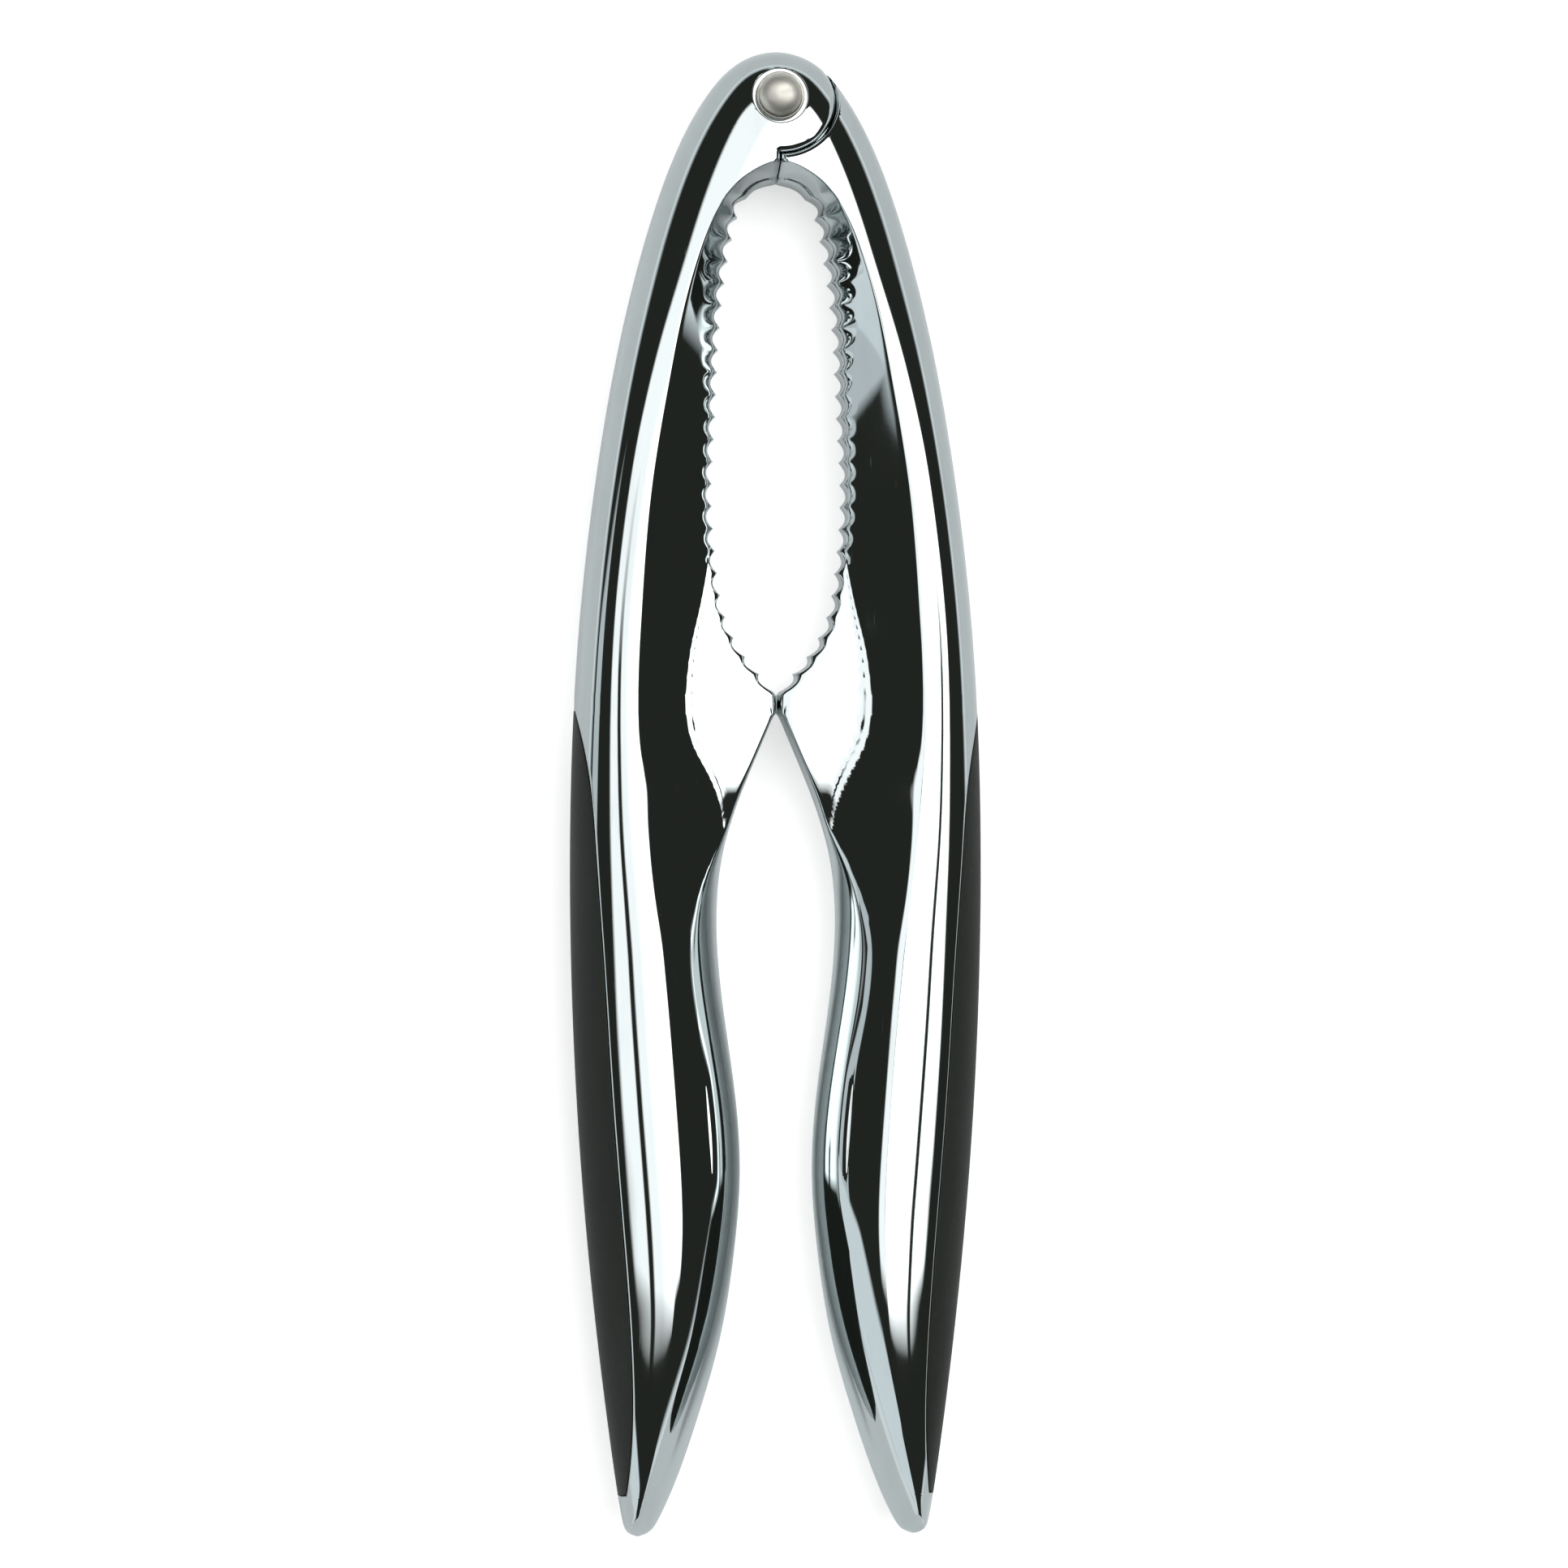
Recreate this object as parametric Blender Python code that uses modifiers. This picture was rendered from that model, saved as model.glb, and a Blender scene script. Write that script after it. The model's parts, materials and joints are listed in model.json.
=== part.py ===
"""Lever nutcracker: two identical die-cast levers, lap-jointed on a two-piece pivot, with soft grip insets.

The tool lies flat. +Y runs from the handle tips to the pivot, +X to the right and +Z up through its
thickness. The origin is the bottom centre of its bounding box. The right lever is the left one turned
half a turn about the long axis, so its ear is in the rear half.
"""

import math

import bpy
import numpy as np

MM = 0.001

# Overall sizes.
HALF_THICKNESS = 7.2 * MM
TOUCH_GAP = 0.3 * MM
HALF_GAP = TOUCH_GAP / 2

# Pivot and its lap joint.
PIVOT_Y = 86.4 * MM
EAR_RADIUS = 7 * MM
EAR_CLEARANCE_RADIUS = EAR_RADIUS + TOUCH_GAP
NOTCH_ANGLE = math.radians(29.5)
BORE_RADIUS = 2.5 * MM
RECESS_RADIUS = 3.45 * MM
RECESS_FLOOR = 5.2 * MM
RIVET_HEAD_RADIUS = 3 * MM
RIVET_RIM = 0.8 * MM
POST_DOME = 1.6 * MM
SOCKET_DOME = 0.55 * MM
SOCKET_RADIUS = BORE_RADIUS - TOUCH_GAP
SHANK_RADIUS = 1.3 * MM
SHANK_END = -4.7 * MM
SOCKET_TOP = 4.9 * MM
HEAD_SEAT = RECESS_FLOOR + TOUCH_GAP
OPEN_END = 30 * MM

# Plan outline of the left lever, from the handle tip upwards (x, y) in mm.
TIP = (-17.2, -92.5)
OUTER_EDGE = [TIP, (-18.6, -91.9), (-19.2, -90.4), (-19.8, -87), (-20.8, -80), (-22.3, -68), (-24.3, -47),
              (-25.5, -24), (-25.65, -2), (-24.7, 19), (-22.35, 40), (-18.9, 59), (-15.4, 72), (-12.0, 81),
              (-8.5, 87.2), (-4.7, 91.1)]
HEAD_TOP = (0, 92.5)
HANDLE_EDGE = [TIP, (-15.8, -91.9), (-14.7, -90.4), (-12.8, -86.3), (-9.6, -77.2), (-7, -68), (-5.2, -57),
               (-4.5, -47.5), (-5.2, -36.5), (-6.6, -26.5), (-7.4, -16.4), (-6.9, -9), (-5.1, -2), (-2.7, 4.2),
               (-0.5, 9.4)]
NOSE_EDGE = [(-0.15, 10), (-0.15, 12.2)]
JAW_EDGE = [(-0.15, 12.2), (-1.3, 13.9), (-4, 17.3), (-6.1, 21.3), (-7.4, 28), (-8, 37), (-7.6, 46),
            (-7.2, 55), (-6.6, 62), (-5.3, 70), (-4.3, 73.2), (-2.7, 75.2), (-0.15, 76)]
SPLIT_X = -HALF_GAP

# Crest of the rail, where the web or the face strip meets the rounded outer flank (x, y) in mm.
CREST_LINE = [(2, 78.1), (0, 78.3), (-3.2, 77.2), (-5.9, 75.1), (-8, 72), (-11, 64.8), (-14, 51),
              (-16.2, 38), (-17.6, 20), (-17.9, 8), (-17.3, -2), (-16.2, -12), (-14.8, -25), (-13.4, -42),
              (-12.9, -53), (-13.7, -68), (-15.3, -80), (-17, -91)]

# Section of the lever along its length: (y, value) in mm.
TAPER_START = -58 * MM
TAPER_END = -92.5 * MM
TIP_DROP = 3 * MM
FLANK_WIDTH = [(-92.5, 3.6), (-84, 5), (-75, 7), (-63, 9.8), (-50, 10.7), (-22, 10), (0, 7.9), (25, 6.6),
               (60, 6.6), (72, 7), (82, 7.6), (87, 8.8), (92.5, 8)]
FLANK_POWER = [(-92.5, 2), (-75, 2.1), (-45, 2.1), (0, 2.2), (30, 2.3), (50, 2.2), (68, 2), (92.5, 2)]
WEB_WIDTH = [(-92.5, 2.4), (-80, 3), (-68, 3.9), (-53, 4.7), (-40, 4.6), (-22, 5), (-14, 6.6), (-9, 8.8),
             (-4, 11), (-1, 10.8), (2, 9.8), (6, 7.4), (11, 6.6), (17, 6.8), (24, 8), (31, 8.6), (38, 8.5),
             (51, 7.2), (58, 6.1), (65, 4.9), (72, 2.9), (75, 2.4), (78.5, 2.1)]
WEB_BASE = [(-92.5, 2.6), (-85, 3.4), (-75, 4.3), (-60, 4.7), (-30, 4.7), (-20, 4.6), (-14, 3.7), (-9, 2.75),
            (-4, 2.3), (0, 2.5), (5, 2.8), (13, 2.8), (20, 2.5), (30, 2), (40, 1.9), (92.5, 1.9)]
EDGE_RISE = [(-92.5, 4.6), (-85, 6), (-75, 7.1), (-60, 7.7), (-25, 7.6), (-15, 7), (-9, 5.6), (-4, 3.8),
             (0, 3), (5, 3.2), (14, 3.2), (40, 2.4), (92.5, 3)]
EDGE_WIDTH = [(-92.5, 4.2), (-84, 5.4), (-74, 6.6), (-58, 7.4), (-25, 7.2), (-15, 6.2), (-9, 4.4), (-4, 1.9),
              (0, 0.9), (5, 0.6), (10, 0.6), (15, 1), (40, 0.7), (92.5, 0.7)]
EDGE_RUNOUT = 4
BEVEL_DROP = [(-92.5, 0), (5, 0), (10, 0.4), (50, 0.4), (66, 0.2), (92.5, 0.2)]
BEVEL_WIDTH = 0.95 * MM
WEB_HOLLOW = [(-92.5, 0.9), (-22, 0.93), (-10, 1), (-3, 1.02), (3, 1.03), (20, 1.03),
              (34, 1), (60, 1), (92.5, 1.1)]
EDGE_POWER = [(-92.5, 1.25), (-12, 1.25), (0, 2), (92.5, 2)]
WEB_SLOPE = 0.05
BLEND = 0.35 * MM
WALL_ROUNDING = 0.3 * MM

# Teeth along the jaw.
TOOTH_COUNT = 23
TOOTH_DEPTH = 0.7 * MM
TOOTH_FADE = [(-92.5, 1.3), (30, 1.3), (46, 1.5), (56, 2.6), (64, 3.8), (72, 4.2), (92.5, 4.2)]
TOOTH_FADE_POWER = 2
TEETH_START = 0.6 * MM
TEETH_END = 4.2 * MM

# Soft grip: how far its inner wall lies in from the outer edge, (y, width) in mm.
GRIP_WIDTH = [(-87.2, 0.9), (-84, 1.7), (-75, 3.2), (-66, 3.9), (-50, 4.2), (-35, 4.05), (-22, 3.75),
              (-7, 2.85), (3, 1.75), (10.4, 0)]
GRIP_LOW = -87.2 * MM
GRIP_HIGH = 10.4 * MM
GRIP_END_ROUNDING = 0.5 * MM
GRIP_THINNEST = 0.01 * MM
SHOULDER_STEP = 0.02 * MM
PEG_RADIUS = 1.5 * MM
PEG_LENGTH = 3 * MM
PEG_PLACES = (-18 * MM, -58 * MM)
PEG_OVERLAP = 1.2 * MM

# Mesh resolution.
PATH_SPACING = 0.25 * MM
TOOTH_PHASES = (0, 0.28, 0.72)
HANDLE_STATIONS = 40
MOUTH_TOP_STATIONS = 5
SPLIT_STATIONS = 3
EAR_STATIONS = 14
EDGE_ACROSS = (0, 0.5)
WEB_ACROSS = (0, 0.3, 0.65, 0.88)
FLANK_ACROSS = (0, 0.2, 0.45, 0.72, 1)
MOST_EDGE_SHARE = 0.25
MOST_CREST_SHARE = 0.85
CREST_SEARCH = 41
PROFILE_START, PROFILE_END = -100 * MM, 100 * MM
PROFILE_SPACING = 0.25 * MM
PROFILE_SOFTNESS = 1.6 * MM
SOFTNESS_REACH = 3
GRIP_STATIONS = 26
GRIP_ACROSS = (0, 0.08, 0.25, 0.52, 0.83, 1)
ROUND_SEGMENTS = 40
DOME_STEPS = 6
FAN_START = 66 * MM
SHARP_ANGLE = math.radians(30)
FLAT_TOLERANCE = 0.003 * MM
MIRROR_MERGE = 0.001 * MM
SCREW_MERGE = 0.01 * MM
TINY = 0.001 * MM
EAR_PATH_POINTS = 112

# Finishes: base colour, metallic and roughness.
CHROME = ((0.80, 0.81, 0.82), 1.0, 0.06)
RUBBER = ((0.045, 0.05, 0.043), 0.0, 0.55)
SATIN_STEEL = ((0.62, 0.60, 0.56), 1.0, 0.3)


def natural_spline(knots, values, wanted):
    """Smooth curve through the knots with no curvature at its ends."""
    knots = np.asarray(knots, float)
    values = np.asarray(values, float)
    count = len(knots)
    gaps = np.diff(knots)
    system = np.eye(count)
    right_side = np.zeros((count,) + values.shape[1:])
    slopes = np.diff(values, axis=0) / gaps.reshape((-1,) + (1,) * (values.ndim - 1))
    for i in range(1, count - 1):
        system[i, i - 1 : i + 2] = gaps[i - 1], 2 * (gaps[i - 1] + gaps[i]), gaps[i]
        right_side[i] = 6 * (slopes[i] - slopes[i - 1])
    bend = np.linalg.solve(system, right_side)
    wanted = np.clip(np.asarray(wanted, float), knots[0], knots[-1])
    piece = np.clip(np.searchsorted(knots, wanted, side="right") - 1, 0, count - 2)
    gap = gaps[piece]
    before = wanted - knots[piece]
    after = knots[piece + 1] - wanted
    if values.ndim == 2:
        gap, before, after = gap[:, None], before[:, None], after[:, None]
    return (
        (bend[piece] * after**3 + bend[piece + 1] * before**3) / (6 * gap)
        + (values[piece] / gap - bend[piece] * gap / 6) * after
        + (values[piece + 1] / gap - bend[piece + 1] * gap / 6) * before
    )


def lengths_along(path):
    return np.concatenate([[0], np.cumsum(np.linalg.norm(np.diff(path, axis=0), axis=1))])


def smooth_path(points_mm):
    """Dense smooth curve through a few plan points."""
    points = np.asarray(points_mm, float) * MM
    travelled = lengths_along(points)
    count = max(2, int(travelled[-1] / PATH_SPACING))
    return natural_spline(travelled, points, np.linspace(0, travelled[-1], count))


def at_lengths(path, wanted):
    travelled = lengths_along(path)
    return np.stack([np.interp(wanted, travelled, path[:, axis]) for axis in (0, 1)], axis=-1)


def steady_curve(knots, values, wanted):
    """Curve through the knots that never swings past a value between two of them."""
    gaps = np.diff(knots)
    slopes = np.diff(values) / gaps
    before, after = slopes[:-1], slopes[1:]
    level = before * after <= 0
    total = np.where(level, 1, before + after)
    tangents = np.concatenate([[0], np.where(level, 0, 2 * before * after / total), [0]])
    wanted = np.clip(wanted, knots[0], knots[-1])
    piece = np.clip(np.searchsorted(knots, wanted, side="right") - 1, 0, len(gaps) - 1)
    share = (wanted - knots[piece]) / gaps[piece]
    rise = share**2 * (3 - 2 * share)
    leave = share * (1 - share) ** 2 * gaps[piece] * tangents[piece]
    arrive = share**2 * (share - 1) * gaps[piece] * tangents[piece + 1]
    return values[piece] + (values[piece + 1] - values[piece]) * rise + leave + arrive


def profile(table_mm, y):
    """A section length along the lever: the table's steady curve, softened over a few millimetres."""
    table = np.asarray(table_mm, float) * MM
    places = np.arange(PROFILE_START, PROFILE_END, PROFILE_SPACING)
    reach = int(SOFTNESS_REACH * PROFILE_SOFTNESS / PROFILE_SPACING)
    weights = np.exp(-0.5 * (np.arange(-reach, reach + 1) * PROFILE_SPACING / PROFILE_SOFTNESS) ** 2)
    values = np.pad(steady_curve(table[:, 0], table[:, 1], places), reach, mode="edge")
    return np.interp(y, places, np.convolve(values, weights / weights.sum(), mode="valid"))


def plain_profile(table_mm, y):
    """A profile whose values are pure numbers and not lengths."""
    return profile(table_mm, y) / MM


def distance_to(path, points):
    """Distance of each plan point to a path, and which side of it the point is on."""
    start = path[:-1]
    run = path[1:] - start
    offset = points[:, None, :] - start[None]
    along = np.clip((offset * run).sum(-1) / (run**2).sum(-1), 0, 1)
    miss = offset - along[..., None] * run
    apart = np.linalg.norm(miss, axis=-1)
    nearest = apart.argmin(axis=1)
    rows = np.arange(len(points))
    side = run[nearest, 0] * offset[rows, nearest, 1] - run[nearest, 1] * offset[rows, nearest, 0]
    return apart[rows, nearest], side


def bulge(ratio, power=2.0):
    """Quarter of a superellipse: 0 with an upright tangent at 0, and 1 from 1 on."""
    return (1 - (1 - np.clip(ratio, 0, 1)) ** power) ** (1 / power)


def smooth_lower(first, second):
    """The lower of two heights, blended where they cross."""
    near = np.clip(1 - np.abs(first - second) / BLEND, 0, 1)
    return np.minimum(first, second) - near**2 * BLEND / 4


def ear_arc(radius, start, end, count):
    angles = np.linspace(start, end, count)
    return np.stack([radius * np.cos(angles), PIVOT_Y + radius * np.sin(angles)], axis=-1)


def outline_paths():
    """The arch over both levers, and the left lever's inner boundary in its four stretches."""
    mirrored = [(-x, y) for x, y in reversed(OUTER_EDGE)]
    arch = smooth_path(OUTER_EDGE + [HEAD_TOP] + mirrored)
    handle = np.vstack([smooth_path(HANDLE_EDGE), np.array(NOSE_EDGE[0]) * MM])
    jaw = smooth_path(JAW_EDGE)
    ear_start = -math.pi / 2 - math.asin(HALF_GAP / EAR_RADIUS)
    ear = ear_arc(EAR_RADIUS, ear_start, NOTCH_ANGLE, EAR_PATH_POINTS)
    split = np.array([jaw[-1], ear[0]])
    return arch, handle, jaw, split, ear


ARCH, HANDLE, JAW, SPLIT, EAR = outline_paths()
INNER_EDGE = np.vstack([HANDLE, JAW])
LAP_EDGE = np.vstack([SPLIT, EAR[1:]])
CREST = smooth_path(CREST_LINE)


def crest_heights(y):
    """Level along the whole lever, then falling in a parabola to the handle tip."""
    down = np.clip((TAPER_START - y) / (TAPER_START - TAPER_END), 0, 1)
    return HALF_THICKNESS + BLEND / 4 - TIP_DROP * down**2


def half_height(points):
    """Half the casting's thickness at each plan point, before any cut."""
    y = points[:, 1]
    from_outline, _ = distance_to(ARCH, points)
    from_inner, _ = distance_to(INNER_EDGE, points)
    from_crest, crest_side = distance_to(CREST, points)
    crest_height = crest_heights(y)
    flank = crest_height * bulge(from_outline / profile(FLANK_WIDTH, y), plain_profile(FLANK_POWER, y))
    rise = np.where(crest_side > 0, from_crest, 0) / profile(WEB_WIDTH, y)
    base = profile(WEB_BASE, y) + WEB_SLOPE * from_inner
    hollow = (1 - np.clip(rise, 0, 1)) ** plain_profile(WEB_HOLLOW, y)
    bevel = profile(BEVEL_DROP, y) * (1 - np.clip(from_inner / BEVEL_WIDTH, 0, 1))
    web = base + (crest_height - base) * hollow - bevel
    edge_width = profile(EDGE_WIDTH, y)
    edge = profile(EDGE_RISE, y) * bulge(from_inner / edge_width, plain_profile(EDGE_POWER, y))
    edge += EDGE_RUNOUT * np.maximum(from_inner - edge_width, 0)
    height = smooth_lower(flank, smooth_lower(web, edge))
    return np.where(height > HALF_THICKNESS - FLAT_TOLERANCE, HALF_THICKNESS, height)


def tooth_cut(travelled, jaw_length):
    """Depth of the scallops along the jaw, with a pointed cusp between each two."""
    span = jaw_length - TEETH_START - TEETH_END
    phase = (travelled - TEETH_START) / span * TOOTH_COUNT
    inside = (phase >= 0) & (phase <= TOOTH_COUNT)
    across = 2 * (phase - np.floor(phase)) - 1
    return np.where(inside, TOOTH_DEPTH * (1 - across**2), 0)


def jaw_lengths(jaw_length):
    """Stations along the jaw: the cusps and the floor of each scallop, then the smooth mouth top."""
    pitch = (jaw_length - TEETH_START - TEETH_END) / TOOTH_COUNT
    teeth = [TEETH_START + (i + phase) * pitch for i in range(TOOTH_COUNT) for phase in TOOTH_PHASES]
    top = np.linspace(jaw_length - TEETH_END, jaw_length, MOUTH_TOP_STATIONS)
    return np.concatenate([[0], teeth, top])


def leg_outer_points(y):
    """Points of the left outline at these heights."""
    left = ARCH[: len(ARCH) // 2]
    return np.stack([np.interp(y, left[:, 1], left[:, 0]), y], axis=-1)


def inward_normals(points):
    """Unit vectors from the left outline into the lever."""
    left = ARCH[: len(ARCH) // 2]
    run = np.gradient(left, axis=0)
    run = run / np.linalg.norm(run, axis=1, keepdims=True)
    turned = np.stack([run[:, 1], -run[:, 0]], axis=-1)
    return np.stack([np.interp(points[:, 1], left[:, 1], turned[:, axis]) for axis in (0, 1)], axis=-1)


def grip_inset(y, clearance):
    """Width of the grip, or of its pocket, at these heights; 0 past its ends."""
    table = np.asarray(GRIP_WIDTH, float) * MM
    width = natural_spline(table[:, 0], table[:, 1], y) + clearance
    low = GRIP_LOW - clearance
    return np.where((y >= low) & (y <= GRIP_HIGH), np.maximum(width, 0), 0)


def lever_stations():
    """Matching inner and outer plan points of each station, and the scallop depth and direction there."""
    handle_length = lengths_along(HANDLE)[-1]
    eased = handle_length * (1 - np.cos(np.linspace(0, math.pi / 2, HANDLE_STATIONS)))
    even = np.linspace(0, handle_length, HANDLE_STATIONS)
    handle = at_lengths(HANDLE, (eased + even) / 2)
    shoulder_y = GRIP_LOW - HALF_GAP + SHOULDER_STEP * np.array([-1, 1])
    shoulder = np.stack([np.interp(shoulder_y, HANDLE[:, 1], HANDLE[:, 0]), shoulder_y], axis=-1)
    handle = np.vstack([handle, shoulder])
    handle = handle[np.argsort(handle[:, 1])]
    jaw_length = lengths_along(JAW)[-1]
    jaw_at = jaw_lengths(jaw_length)
    jaw = at_lengths(JAW, jaw_at)
    split = np.linspace(SPLIT[0], SPLIT[1], SPLIT_STATIONS + 1)[1:]
    ear = at_lengths(EAR, np.linspace(0, lengths_along(EAR)[-1], EAR_STATIONS))[1:]
    inner = np.vstack([handle, jaw, split, ear])
    uncut = np.zeros(len(split) + len(ear))
    cut = np.concatenate([np.zeros(len(handle)), tooth_cut(jaw_at, jaw_length), uncut])

    outer = leg_outer_points(inner[:, 1])
    arch_lengths = lengths_along(ARCH)
    fan_from = np.interp(FAN_START, ARCH[: len(ARCH) // 2, 1], arch_lengths[: len(ARCH) // 2])
    right_half = slice(len(ARCH) // 2, None)
    notch = EAR[-1]
    gap_to_notch = np.linalg.norm(ARCH[right_half] - notch, axis=1)
    fan_to = arch_lengths[right_half][gap_to_notch.argmin()]
    travelled = lengths_along(inner)
    fan = (inner[:, 1] > FAN_START) | (np.arange(len(inner)) > len(handle) + len(jaw))
    first = travelled[fan][0]
    share = np.clip((travelled - first) / (travelled[-1] - first), 0, 1)
    outer[fan] = at_lengths(ARCH, fan_from + share[fan] * (fan_to - fan_from))
    outer[-1] = inner[-1]

    inset = grip_inset(outer[:, 1], HALF_GAP)
    inset[fan] = 0
    outer = outer + inward_normals(outer) * inset[:, None]
    return inner, outer, inset, cut


def crest_crossings(inner, outer):
    """How far along each station's line the crest lies, from its inner end."""
    run = outer - inner
    width = np.linalg.norm(run, axis=1)
    shares = np.linspace(0, 1, CREST_SEARCH)
    points = inner[:, None, :] + run[:, None, :] * shares[None, :, None]
    apart, side = distance_to(CREST, points.reshape(-1, 2))
    signed = (apart * np.sign(side)).reshape(len(inner), len(shares))
    past = signed <= 0
    found = past.any(axis=1)
    last = np.clip(past.argmax(axis=1), 1, None)
    rows = np.arange(len(inner))
    before, after = signed[rows, last - 1], signed[rows, last]
    step = before / np.where(before == after, 1, before - after)
    crossing = (shares[last - 1] + np.clip(step, 0, 1) * shares[1]) * width
    return np.where(found, crossing, width / 2)


def spread(width, edge, crest):
    """Distances from the inner edge at which each section is sampled, finest at both edges."""
    edge = np.minimum(edge, MOST_EDGE_SHARE * width)[:, None]
    crest = np.clip(crest[:, None], edge, MOST_CREST_SHARE * width[:, None])
    return np.hstack([
        edge * (1 - np.cos(math.pi / 2 * np.array(EDGE_ACROSS))),
        edge + (crest - edge) * np.array(WEB_ACROSS),
        crest + (width[:, None] - crest) * np.sin(math.pi / 2 * np.array(FLANK_ACROSS)),
    ])


def new_object(name, mesh, collection):
    obj = bpy.data.objects.new(name, mesh)
    collection.objects.link(obj)
    return obj


def half_shell(name, plan, heights, collection):
    """Upper half of a solid over rows of plan points, open at the mid-plane; its end rows close to a point."""
    rows, columns = heights.shape
    points = [tuple(plan[0, 0] - (0, PIVOT_Y)) + (0,)]
    for row in range(1, rows - 1):
        points += [(x, y - PIVOT_Y, z) for (x, y), z in zip(plan[row], heights[row])]
    points.append(tuple(plan[-1, 0] - (0, PIVOT_Y)) + (0,))
    last = len(points) - 1
    faces = []
    for column in range(columns - 1):
        faces.append((0, 1 + column + 1, 1 + column))
        end = 1 + (rows - 3) * columns + column
        faces.append((last, end, end + 1))
    for row in range(rows - 3):
        for column in range(columns - 1):
            corner = 1 + row * columns + column
            faces.append((corner, corner + 1, corner + columns + 1, corner + columns))
    mesh = bpy.data.meshes.new(name)
    mesh.from_pydata(points, [], faces)
    if sum(polygon.normal.z for polygon in mesh.polygons) < 0:
        mesh.flip_normals()
    obj = new_object(name, mesh, collection)
    mirror = obj.modifiers.new("both_faces", "MIRROR")
    mirror.use_axis = (False, False, True)
    mirror.merge_threshold = MIRROR_MERGE
    return obj


def lever_blank(collection):
    """The left lever with its ear at full thickness."""
    inner, outer, inset, cut = lever_stations()
    run = outer - inner
    width = np.linalg.norm(run, axis=1)
    edge = profile(EDGE_WIDTH, inner[:, 1])
    places = spread(width, edge, crest_crossings(inner, outer))
    unit = run / np.maximum(width, TINY)[:, None]
    plan = inner[:, None, :] + unit[:, None, :] * places[..., None]
    flat = plan.reshape(-1, 2)
    heights = half_height(flat)
    from_lap, _ = distance_to(LAP_EDGE, flat)
    heights = (heights * bulge(from_lap / WALL_ROUNDING)).reshape(places.shape)
    wall = np.minimum(inset, WALL_ROUNDING)[:, None]
    from_wall = width[:, None] - places
    heights *= np.where(wall > 0, bulge(from_wall / np.maximum(wall, TINY)), 1)
    heights[:, [0, -1]] = 0
    from_inner, _ = distance_to(INNER_EDGE, flat)
    near = 1 - np.clip(from_inner / profile(TOOTH_FADE, flat[:, 1]), 0, 1)
    fade = near.reshape(places.shape) ** TOOTH_FADE_POWER
    plan += unit[:, None, :] * (cut[:, None] * fade)[..., None]
    return half_shell("lever_blank", plan, heights, collection)


def cylinder(name, radius, low, high, collection, y=0.0, along_x=False):
    """Closed cylinder from low to high along Z, or along X, placed relative to the pivot."""
    bpy.ops.mesh.primitive_cylinder_add(vertices=ROUND_SEGMENTS, radius=radius, depth=high - low)
    obj = bpy.context.object
    obj.name = name
    middle = (low + high) / 2
    if along_x:
        obj.rotation_euler = (0, math.pi / 2, 0)
        obj.location = (middle, PIVOT_Y + y, HALF_THICKNESS)
    else:
        obj.location = (0, PIVOT_Y + y, HALF_THICKNESS + middle)
    for old in obj.users_collection:
        old.objects.unlink(obj)
    collection.objects.link(obj)
    return obj


def hide_cutter(obj):
    obj.hide_render = True
    obj.display_type = "WIRE"


def add_boolean(obj, other, operation="DIFFERENCE"):
    modifier = obj.modifiers.new(other.name, "BOOLEAN")
    modifier.operation = operation
    modifier.object = other
    modifier.solver = "EXACT"
    hide_cutter(other)


def baked(obj, name, collection):
    """A plain mesh object in place of one with modifiers; its origin stays at the pivot."""
    bpy.context.view_layer.update()
    graph = bpy.context.evaluated_depsgraph_get()
    mesh = bpy.data.meshes.new_from_object(obj.evaluated_get(graph))
    mesh.name = name
    result = new_object(name, mesh, collection)
    result.matrix_world = obj.matrix_world
    return result


def peg_wall(y):
    """Plan x of the grip's inner wall at a peg, in the part's frame."""
    outer = leg_outer_points(np.array([y]))
    wall = outer + inward_normals(outer) * grip_inset(outer[:, 1], 0)[:, None]
    return float(wall[0, 0])


def make_lever(collection, cutters):
    """Left lever: the blank with the other ear's clearance, the pivot bore, the rivet recess and peg holes."""
    blank = lever_blank(cutters)
    blank.location = (0, PIVOT_Y, HALF_THICKNESS)
    add_boolean(blank, cylinder("ear_clearance", EAR_CLEARANCE_RADIUS, -OPEN_END, HALF_GAP, cutters))
    add_boolean(blank, cylinder("rivet_recess", RECESS_RADIUS, RECESS_FLOOR, OPEN_END, cutters))
    add_boolean(blank, cylinder("pivot_bore", BORE_RADIUS, -OPEN_END, OPEN_END, cutters))
    for number, y in enumerate(PEG_PLACES, start=1):
        wall = peg_wall(y)
        hole = cylinder(f"peg_hole_{number}", PEG_RADIUS + TOUCH_GAP, wall - PEG_LENGTH,
                        wall + PEG_LENGTH + TOUCH_GAP, cutters, y=y - PIVOT_Y, along_x=True)
        add_boolean(blank, hole)
    lever = baked(blank, "left_lever", collection)
    hide_cutter(blank)
    return lever


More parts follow.
